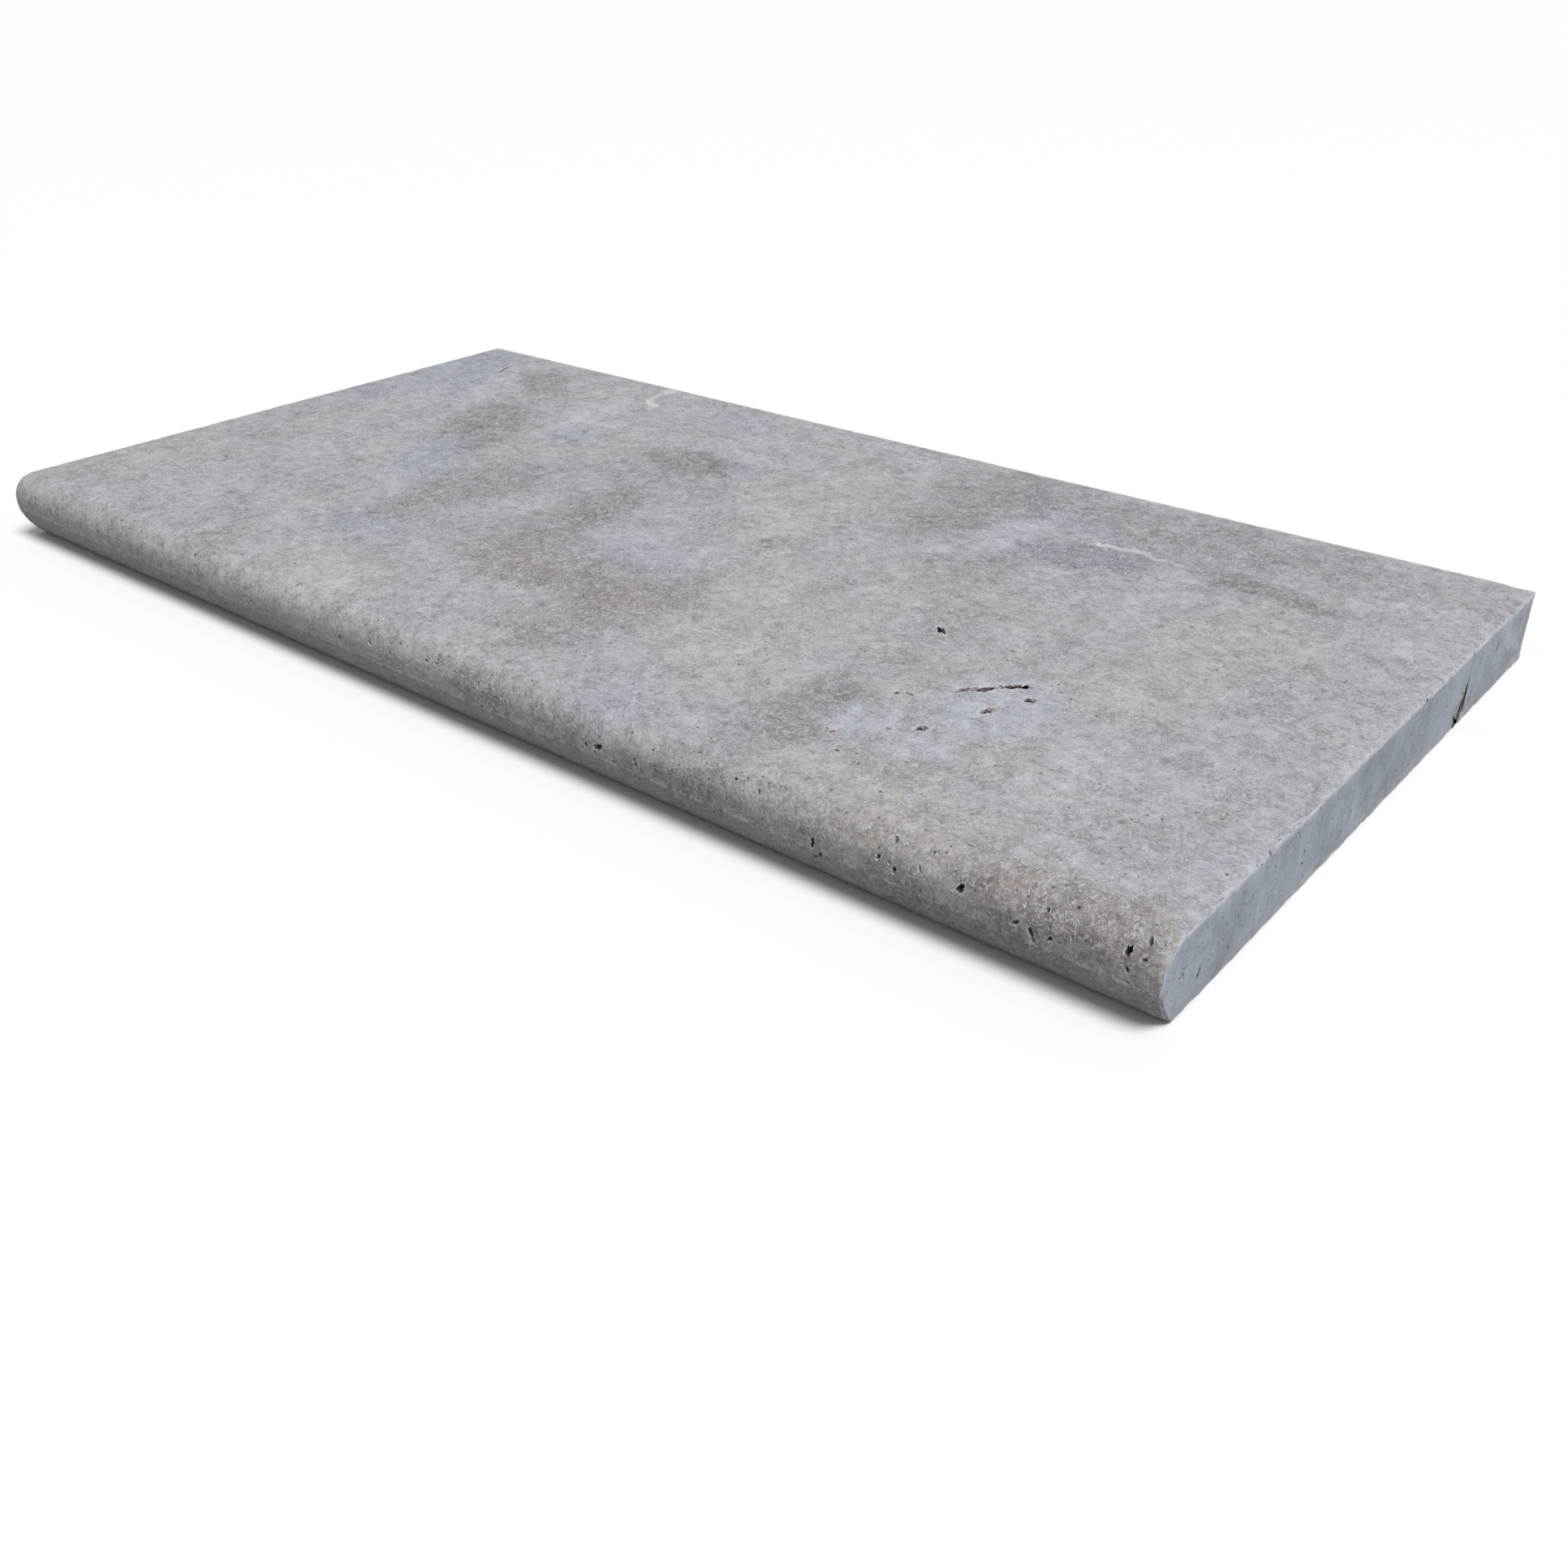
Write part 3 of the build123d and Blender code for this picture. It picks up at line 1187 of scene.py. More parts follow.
    def cut(self, slab: bpy.types.Object, cutters: bpy.types.Mesh) -> None:
        """Cut a mesh of pods out of the slab.

        Args:
            slab: The slab.
            cutters: The pods.
        """
        tool = bpy.data.objects.new("void_cutters", cutters)
        bpy.context.scene.collection.objects.link(tool)
        modifier = slab.modifiers.new("voids", "BOOLEAN")
        modifier.operation = "DIFFERENCE"
        modifier.solver = "MANIFOLD"
        modifier.object = tool
        modifier.material_mode = "TRANSFER"
        bpy.context.view_layer.update()
        shown = slab.evaluated_get(bpy.context.evaluated_depsgraph_get())
        slab.data = bpy.data.meshes.new_from_object(shown)
        slab.modifiers.remove(modifier)
        bpy.data.objects.remove(tool)


class Tone(Enum):
    """Colours of the stone and of the painted shade laid on it, linear."""

    LAVENDER = (0.277, 0.2718, 0.2975)
    BEIGE = (0.284, 0.280, 0.293)
    CREAM = (0.318, 0.317, 0.302)
    GREENISH = (0.300, 0.313, 0.334)
    BLUE = (0.238, 0.256, 0.298)
    BLUE_DARK = (0.168, 0.178, 0.204)
    ICE = (0.306, 0.325, 0.362)
    DARK = (0.160, 0.156, 0.170)
    BROWN = (0.205, 0.184, 0.176)
    PALE = (0.440, 0.438, 0.460)
    TAN = (0.345, 0.283, 0.235)
    RUST = (0.245, 0.190, 0.164)
    # Painted shade: a dark grey laid over the nose's underside, where less light falls.
    PAINTED_SHADE = (0.205, 0.205, 0.205)
    # Partly the sawn finish's own blue-grey and partly painted light: a cool tint for the sky light on the ends.
    SAWN = (0.330, 0.366, 0.420)
    SAWN_DARK = (0.256, 0.281, 0.326)
    WARM = (0.292, 0.277, 0.262)
    CRUMB = (0.260, 0.246, 0.226)
    # Painted shade of hollows: the dark of the voids' depths and of the pinholes.
    HOLLOW_SHADE = (0.080, 0.076, 0.066)

    @property
    def rgba(self) -> tuple[float, float, float, float]:
        """The tone with full alpha."""
        return (*self.value, 1.0)


@dataclass(frozen=True)
class Patch:
    """A soft-edged area of another tone in the stone.

    Attributes:
        tone: Its colour.
        centre: Its centre in millimetres.
        reach: Its half sizes in millimetres.
        strength: Its share at the centre, from 0 to 1.
        turn: Its turn about Z in degrees.
        edge: Share of its reach over which it fades, from 0 to 1.
        flecked: Whether it is broken into fine flecks.
    """

    tone: Tone
    centre: tuple[float, float, float]
    reach: tuple[float, float, float]
    strength: float
    turn: float = 0.0
    edge: float = 0.65
    flecked: bool = False

    def axes(self) -> dict[str, Vector]:
        """Its three directions, each divided by its half size, by the names of the patch group's inputs."""
        turn = Matrix.Rotation(math.radians(self.turn), 3, "Z")
        return {name: turn.col[i] / self.reach[i] for i, name in enumerate(("along", "across", "up"))}


def on_top(
    tone: Tone, x: float, y: float, long: float, wide: float, strength: float, turn: float = 0.0, edge: float = 0.65
) -> Patch:
    """A patch on the top face.

    Args:
        tone: Its colour.
        x: Its centre along the length, in millimetres.
        y: Its centre across it.
        long: Its half length.
        wide: Its half width.
        strength: Its share at the centre, from 0 to 1.
        turn: Its turn in degrees.
        edge: Share of its reach over which it fades.

    Returns:
        The patch, deep enough to reach over the nose.
    """
    return Patch(tone, (x, y, 30), (long, wide, 40), strength, turn, edge)


TOP_PATCHES = [
    on_top(Tone.DARK, -100, 10, 130, 110, 0.14, edge=0.9),
    on_top(Tone.BLUE, -268, 108, 62, 13, 0.9, -58, 0.5),
    on_top(Tone.PALE, -243, 90, 30, 3.5, 0.45, -66, 0.7),
    on_top(Tone.BLUE, -288, 44, 22, 14, 0.8),
    on_top(Tone.BLUE, -284, 100, 32, 62, 0.85),
    on_top(Tone.GREENISH, -228, 76, 67, 17, 0.91, -54),
    on_top(Tone.DARK, -222, 116, 34, 17, 0.7, -40),
    on_top(Tone.DARK, -190, 42, 56, 28, 0.85, -58),
    on_top(Tone.GREENISH, -152, 86, 43, 22, 0.92, -62),
    on_top(Tone.BLUE, -140, 58, 18, 14, 0.80),
    on_top(Tone.PALE, -156, 140, 16, 3.4, 1.0, -74),
    on_top(Tone.PALE, -147, 123, 15, 3.0, 1.0, -50),
    on_top(Tone.PALE, -187, 121, 6.0, 4.5, 0.5),
    on_top(Tone.BLUE, -88, 130, 22, 15, 0.80),
    on_top(Tone.ICE, -48, 95, 37, 22, 0.60),
    on_top(Tone.DARK, -46, 97, 18, 9, 0.45),
    on_top(Tone.DARK, -60, 64, 38, 20, 1.0),
    on_top(Tone.BLUE, -36, 69, 12, 9, 0.92),
    on_top(Tone.DARK, -122, -20, 38, 35, 0.62),
    on_top(Tone.DARK, -126, -64, 18, 28, 0.63, 15),
    on_top(Tone.BLUE, -170, -10, 42, 19, 1.0, -52),
    on_top(Tone.ICE, -150, -52, 14, 23, 0.48, 10),
    on_top(Tone.BLUE, -118, -87, 28, 12, 0.92),
    on_top(Tone.DARK, -54, -16, 20, 46, 0.85, 10),
    on_top(Tone.DARK, -70, 30, 58, 38, 0.24),
    on_top(Tone.PALE, -80, -27, 20, 19, 0.23),
    on_top(Tone.DARK, -10, -64, 82, 28, 0.69),
    on_top(Tone.BROWN, -26, -76, 40, 19, 0.85, -8),
    Patch(Tone.RUST, (-22, -75, 30), (30, 13, 40), 0.35, flecked=True),
    on_top(Tone.DARK, 27, -104, 28, 28, 0.58),
    on_top(Tone.BROWN, 29, -75, 30, 20, 0.95),
    Patch(Tone.RUST, (30, -75, 30), (22, 12, 40), 0.2, flecked=True),
    on_top(Tone.DARK, 40, -44, 11, 20, 0.5),
    on_top(Tone.ICE, -12, -24, 16, 15, 0.5),
    on_top(Tone.BLUE, 4, -36, 32, 15, 0.8, -10),
    on_top(Tone.CREAM, -87, -128, 37, 21, 0.92),
    on_top(Tone.PALE, -165, -84, 14, 10, 0.34),
    on_top(Tone.DARK, -177, -110, 22, 7.5, 0.48, -30),
    on_top(Tone.BLUE, -252, -97, 16, 4.6, 0.57),
    on_top(Tone.CREAM, 24, 26, 22, 28, 0.72, 20),
    on_top(Tone.CREAM, 66, -26, 41, 16, 0.72, -50),
    on_top(Tone.CREAM, 94, -86, 46, 23, 0.52, -30),
    on_top(Tone.ICE, 26, 127, 28, 9, 0.72, -52),
    on_top(Tone.DARK, 76, 104, 35, 68, 0.63),
    on_top(Tone.DARK, 165, 122, 100, 34, 0.55),
    on_top(Tone.BLUE, 128, 104, 34, 12, 0.7, -20),
    on_top(Tone.BLUE_DARK, 102, 115, 28, 6.9, 0.66, -62),
    on_top(Tone.ICE, 112, 76, 16, 28, 0.78),
    on_top(Tone.BLUE_DARK, 146, 75, 34, 19, 1.0, 20, 0.55),
    on_top(Tone.PALE, 154, 91, 15, 2.6, 1.0, 14, 0.5),
    on_top(Tone.PALE, 174, 92, 16, 2.2, 1.0, -6, 0.5),
    on_top(Tone.DARK, 222, 86, 50, 10, 0.92, -6),
    on_top(Tone.DARK, 116, 34, 30, 30, 0.39),
    on_top(Tone.CREAM, 245, 40, 25, 25, 0.45),
    on_top(Tone.BROWN, 246, 36, 17, 12, 0.25),
    on_top(Tone.DARK, 145, -14, 11, 28, 0.45),
    on_top(Tone.DARK, 144, -106, 18, 45, 0.75),
    on_top(Tone.ICE, 194, -62, 23, 28, 0.92, edge=0.45),
    on_top(Tone.ICE, 164, -97, 16, 13, 0.92, edge=0.5),
    on_top(Tone.ICE, 190, -104, 12, 9, 0.72),
    on_top(Tone.CREAM, 176, -132, 30, 10, 0.78),
    on_top(Tone.PALE, 252, -88, 38, 30, 0.15),
    on_top(Tone.ICE, 297, -98, 12, 34, 0.5),
]

NOSE_PATCHES = [
    Patch(Tone.BLUE, (-232, -150, 20), (26, 40, 8), 0.4),
    Patch(Tone.BROWN, (-156, -150, 28.5), (16, 40, 4.5), 0.8),
    Patch(Tone.TAN, (-77, -152, 24), (30, 9, 9), 0.62),
    Patch(Tone.BEIGE, (-56, -150, 18), (50, 40, 14), 0.4),
    Patch(Tone.DARK, (33, -152, 20), (18, 40, 9), 0.6),
    Patch(Tone.BLUE, (88, -150, 27), (22, 40, 8), 0.6),
    Patch(Tone.DARK, (130, -152, 17), (60, 40, 7), 0.35),
    Patch(Tone.RUST, (162, -150, 25), (10, 40, 7), 0.6, flecked=True),
    Patch(Tone.WARM, (240, -150, 26), (105, 14, 14), 0.8),
    Patch(Tone.CREAM, (-110, -150, 27), (90, 9, 10), 0.5),
    Patch(Tone.TAN, (206, -148, 28), (22, 40, 6), 0.4, flecked=True),
    Patch(Tone.RUST, (221, -150, 25), (22, 40, 8), 0.6, flecked=True),
    Patch(Tone.BROWN, (199, -146, 29), (12, 9, 4), 0.6),
    Patch(Tone.DARK, (240, -152, 11), (50, 14, 8), 0.75),
    Patch(Tone.TAN, (240, -142, 30), (18, 9, 8), 0.4, flecked=True),
    Patch(Tone.BROWN, (262, -150, 25), (34, 16, 10), 0.85),
    Patch(Tone.RUST, (256, -152, 23), (18, 40, 8), 0.6, flecked=True),
    Patch(Tone.BROWN, (284, -148, 26), (24, 18, 11), 1.0),
    Patch(Tone.RUST, (286, -152, 22), (18, 40, 8), 0.65, flecked=True),
    # Partly a paler tone and partly painted light: low on the nose at the right end, where more light falls.
    Patch(Tone.ICE, (292, -146, 7), (34, 16, 8), 0.45),
]

END_PATCHES = [
    Patch(Tone.BROWN, (305, 78, 4), (20, 9, 9), 1.0, edge=0.6),
    Patch(Tone.TAN, (305, 76, 4), (20, 5, 7), 0.8, edge=0.6, flecked=True),
    Patch(Tone.PALE, (305, 76, 1), (20, 12, 4), 0.9, edge=0.5),
    Patch(Tone.SAWN_DARK, (305, 149, 15), (20, 4.5, 20), 0.7),
    Patch(Tone.SAWN_DARK, (305, -75, 18), (20, 9, 12), 0.6),
    Patch(Tone.SAWN_DARK, (305, 20, 12), (20, 22, 14), 0.35),
    Patch(Tone.PALE, (305, 130, 20), (20, 22, 12), 0.2),
    Patch(Tone.SAWN_DARK, (305, -120, 12), (20, 12, 14), 0.35),
]


class StoneGroups:
    """Shader node groups that the finishes share. Each is built once.

    Attributes:
        patch: The mask of a patch.
        grain: The stone's fabric.
        specks: The pinholes.
    """

    def __init__(self) -> None:
        """Build the groups."""
        self.patch = self.soft_patch()
        self.grain = self.stone_grain()
        self.specks = self.pore_specks()

    def soft_patch(self) -> bpy.types.NodeTree:
        """Build a mask that is full at a centre and fades to 0 at its reach.

        Returns:
            The group, which puts out the mask.
        """
        tree, start, end = new_group(
            "soft_patch",
            "ShaderNodeTree",
            {
                "Place": Socket.VECTOR,
                "Centre": Socket.VECTOR,
                "Along": (0.1, 0.0, 0.0),
                "Across": (0.0, 0.1, 0.0),
                "Up": (0.0, 0.0, 0.1),
                "Edge": 0.8,
                "Strength": 1.0,
                "Fray": 0.0,
            },
            {"Mask": Socket.NUMBER},
        )
        given = start.outputs
        own = tree.vector("SUBTRACT", given["Place"], given["Centre"])
        squares = 0.0
        for name in ("Along", "Across", "Up"):
            both = {0: own, 1: given[name]}
            way = tree.add("ShaderNodeVectorMath", both, operation="DOT_PRODUCT").outputs["Value"]
            squares = tree.math("MULTIPLY_ADD", way, way, squares)
        far = tree.math("SQRT", squares)
        core = tree.minus(1.0, given["Edge"])
        mask = tree.ramp(tree.math("ADD", far, given["Fray"]), 1.0, core)
        tree.feed(end.inputs[0], tree.times(mask, given["Strength"]))
        return tree.tree

    def stone_grain(self) -> bpy.types.NodeTree:
        """Build the stone's fabric.

        Returns:
            The group, which puts out values round 0.5 at three sizes, and masks of pale flakes, dark ones and veins.
        """
        tree, start, end = new_group(
            "stone_grain",
            "ShaderNodeTree",
            {"Place": Socket.VECTOR, "Grain Size": 1.0, "Mottle Size": 5.0, "Blotch Size": 14.0},
            dict.fromkeys(("Grain", "Mottle", "Blotch", "Pale", "Dark", "Vein"), Socket.NUMBER),
        )
        place, grain, mottle, blotch = (start.outputs[n] for n in ("Place", "Grain Size", "Mottle Size", "Blotch Size"))
        tree.feed(end.inputs["Grain"], tree.layer(place, grain, 2.0, MIDDLE, 0.6, 0.15))
        tree.feed(end.inputs["Mottle"], tree.layer(place, mottle, 4.0, (11.0, 4.4, -7.7), 0.62, 0.5))
        tree.feed(end.inputs["Blotch"], tree.layer(place, blotch, 5.0, (29.0, 11.6, -20.3), 0.6, 0.6))
        flakes = tree.layer(place, tree.times(grain, 1.1), 1.0, (91.0, 36.4, -63.7), 0.5, 0.3)
        tree.feed(end.inputs["Pale"], tree.ramp(flakes, 0.61, 0.67))
        tree.feed(end.inputs["Dark"], tree.ramp(flakes, 0.31, 0.26))
        line = tree.layer(place, mottle, 3.0, (63.0, 25.2, -44.1), 0.6, 1.6)
        line = tree.math("ABSOLUTE", tree.minus(line, 0.5))
        wisp = tree.layer(place, tree.times(grain, 2.1), 2.0, (47.0, 18.8, -32.9), 0.55, 1.2)
        wisp = tree.math("ABSOLUTE", tree.minus(wisp, 0.53))
        strokes = tree.ramp(tree.layer(place, mottle, 2.0, (131.0, 52.4, -91.7)), 0.54, 0.62)
        wisps = tree.times(tree.ramp(wisp, 0.04, 0.012), strokes)
        tree.feed(end.inputs["Vein"], tree.math("MAXIMUM", tree.ramp(line, 0.022, 0.004), wisps))
        return tree.tree

    def pore_specks(self) -> bpy.types.NodeTree:
        """Build the pinholes: one dot in some of the cells of a random pattern.

        Returns:
            The group, which puts out their mask.
        """
        tree, start, end = new_group(
            "pore_specks",
            "ShaderNodeTree",
            {"Place": Socket.VECTOR, "Spacing": 3.0, "Share": 0.3, "Radius": 0.2},
            {"Mask": Socket.NUMBER},
        )
        given = start.outputs
        ragged = tree.add("ShaderNodeTexNoise", {"Vector": given["Place"], "Scale": 2.6, "Detail": 1.0}).outputs[1]
        place = tree.vector("ADD", given["Place"], tree.scaled(ragged, 0.7))
        scale = tree.math("DIVIDE", 1.0, given["Spacing"])
        cell = tree.add("ShaderNodeTexVoronoi", {"Vector": place, "Scale": scale}, feature="F1")
        chance = tree.add("ShaderNodeSeparateColor", {0: cell.outputs["Color"]})
        wanted = tree.math("LESS_THAN", chance.outputs[0], given["Share"])
        size = tree.times(given["Radius"], tree.math("MULTIPLY_ADD", chance.outputs[1], 0.8, 0.5))
        dot = tree.ramp(cell.outputs["Distance"], size, tree.times(size, 0.45))
        tree.feed(end.inputs[0], tree.times(dot, wanted))
        return tree.tree


@dataclass(frozen=True)
class Cloud:
    """Soft clouds of a tone.

    Attributes:
        tone: Their colour.
        size_mm: Their size.
        low: Noise at which they begin.
        high: Noise at which they are full.
        strength: Their share where they are full.
        shift_mm: A shift, so that two kinds of clouds differ.
    """

    tone: Tone
    size_mm: float
    low: float
    high: float
    strength: float = 1.0
    shift_mm: float = 0.0


class FinishTree(Tree):
    """A finish's material, with the stone's shared places and groups at hand.

    Attributes:
        material: The material.
        groups: The groups that the finishes share.
        shader: The material's own shader.
        place: The place in the stone, in millimetres.
        along: Its X.
        height: Its Z.
        cloudy: The place moved by wide soft noise, for clouds.
        ragged: The place moved by finer noise, for the edges of patches.
    """

    def __init__(self, name: str, groups: StoneGroups) -> None:
        """Start a material.

        Args:
            name: The material's name.
            groups: The groups that the finishes share.
        """
        self.material = bpy.data.materials.new(name)
        self.material.use_nodes = True
        super().__init__(self.material.node_tree)
        self.groups = groups
        self.shader = self.tree.nodes["Principled BSDF"]
        self.place = self.scaled(self.add("ShaderNodeTexCoord").outputs["Object"], 1 / MM)
        axes = self.add("ShaderNodeSeparateXYZ", {0: self.place}).outputs
        self.along, self.height = axes["X"], axes["Z"]
        self.cloudy = self.drifted(self.place, 46.0, 26.0)
        self.ragged = self.drifted(self.drifted(self.place, 16.0, 16.0), 4.0, 5.0)

    def drifted(self, place: object, size: float, amount: float) -> bpy.types.NodeSocket:
        """A place moved by soft noise, so that edges read from it are irregular.

        Args:
            place: The place in millimetres.
            size: Size of the noise in millimetres.
            amount: How far it moves the place, in millimetres.

        Returns:
            The moved place.
        """
        noise = self.add("ShaderNodeTexNoise", {"Vector": place, "Scale": 1 / size, "Detail": 2.0}).outputs[1]
        return self.vector("ADD", place, self.scaled(self.vector("SUBTRACT", noise, (0.5, 0.5, 0.5)), amount))

    def cloud(self, cloud: Cloud) -> bpy.types.NodeSocket:
        """The mask of soft clouds, before their strength.

        Args:
            cloud: The clouds.

        Returns:
            The mask, from 0 to 1.
        """
        shift = cloud.shift_mm
        place = self.vector("ADD", self.cloudy, (shift, 2 * shift, -shift))
        inputs = {"Vector": place, "Scale": 1 / cloud.size_mm, "Detail": 3.0, "Roughness": 0.55}
        return self.ramp(self.add("ShaderNodeTexNoise", inputs).outputs[0], cloud.low, cloud.high)

    def share(self, name: str) -> bpy.types.NodeSocket:
        """A value stored in the mesh."""
        return self.add("ShaderNodeAttribute", attribute_name=name).outputs["Fac"]

    def group(self, tree: bpy.types.NodeTree, **inputs: object) -> bpy.types.Node:
        """Place one of the shared groups.

        Args:
            tree: The group.
            inputs: Its inputs by name, in lower case and with _ for a space.

        Returns:
            The group's node.
        """
        node = self.add("ShaderNodeGroup", node_tree=tree)
        for key, value in inputs.items():
            self.feed(node.inputs[key.replace("_", " ").title()], value)
        return node

    def coat(self, colour: object, tone: Tone, *shares: object) -> bpy.types.NodeSocket:
        """Lay a tone over a colour.

        Args:
            colour: The colour below.
            tone: The tone above.
            shares: Masks and strengths, which are multiplied.

        Returns:
            The mixed colour.
        """
        return self.mix(self.times(*shares), colour, tone.rgba)

    def patched(self, colour: object, patches: list[Patch]) -> bpy.types.NodeSocket:
        """Lay patches over a colour, in order, each frayed and broken up by the same soft noise.

        Args:
            colour: The colour below them.
            patches: The patches, the lowest first.

        Returns:
            The colour with the patches.
        """
        soft = self.layer(self.place, 7.0, 5.0, MIDDLE, 0.65, 0.6)
        broken = self.ramp(soft, 0.34, 0.6, (0.5, 1.15))
        fray = self.math("MULTIPLY_ADD", soft, 1.15, -0.7)
        flecks = self.ramp(self.layer(self.place, 1.9, 3.0, (71.0, 13.0, 5.0), 0.6, 0.4), 0.44, 0.66)
        for patch in patches:
            own = {"centre": patch.centre, "edge": patch.edge, "strength": patch.strength, **patch.axes()}
            mask = self.group(self.groups.patch, place=self.ragged, fray=fray, **own).outputs[0]
            colour = self.coat(colour, patch.tone, mask, flecks if patch.flecked else broken)
        return colour

    def grain(self, grain_mm: float, mottle_mm: float, blotch_mm: float) -> bpy.types.Node:
        """Place the stone's fabric.

        Args:
            grain_mm: Size of the crystals.
            mottle_mm: Size of the mottling.
            blotch_mm: Size of the blotches.

        Returns:
            The fabric's node.
        """
        sizes = {"grain_size": grain_mm, "mottle_size": mottle_mm, "blotch_size": blotch_mm}
        return self.group(self.groups.grain, place=self.place, **sizes)

    def lifted(self, grain: bpy.types.Node, contrasts: dict[str, float], calm: object = 1.0) -> bpy.types.NodeSocket:
        """A grey value round 1 from the fabric.

        Args:
            grain: The fabric's node.
            contrasts: Contrast of each of its values.
            calm: A factor on all contrasts.

        Returns:
            The value.
        """
        total = 0.0
        for name, contrast in contrasts.items():
            total = self.math("MULTIPLY_ADD", self.minus(grain.outputs[name], 0.5), contrast, total)
        return self.math("MULTIPLY_ADD", total, calm, 1.0)

    def worn(self, grain: bpy.types.Node, mottle: float, low: float, high: float) -> bpy.types.NodeSocket:
        """The worn band along the arrises, with an uneven edge.

        Args:
            grain: The fabric's node.
            mottle: How uneven its edge is.
            low: Nearness to the arris at which it begins.
            high: Nearness at which it is full.

        Returns:
            Its mask.
        """
        near = self.math("MULTIPLY_ADD", grain.outputs["Mottle"], mottle, self.share("arris"))
        return self.ramp(near, low, high)

    def pores(self, spacing_mm: float, radius_mm: float = 0.2) -> bpy.types.NodeSocket:
        """The mask of the pinholes.

        Args:
            spacing_mm: Distance between the places where one may be.
            radius_mm: Their mean radius.

        Returns:
            The mask.
        """
        share = self.share("pore_share")
        specks = self.group(self.groups.specks, place=self.place, spacing=spacing_mm, share=share, radius=radius_mm)
        return specks.outputs[0]

    def shaded(self, colour: object, roughness: object, heights: list[tuple[object, float]]) -> bpy.types.Material:
        """Feed the shader.

        Args:
            colour: The base colour.
            roughness: The roughness.
            heights: Heights of the bump, each with its own size in millimetres.

        Returns:
            The finished material.
        """
        self.feed(self.shader.inputs["Base Color"], colour)
        self.feed(self.shader.inputs["Roughness"], roughness)
        total = 0.0
        for height, size in heights:
            total = self.math("MULTIPLY_ADD", height, size, total)
        bump = self.add("ShaderNodeBump", {"Height": total, "Distance": MM, "Strength": 1.0})
        self.feed(self.shader.inputs["Normal"], bump.outputs[0])
        return self.material


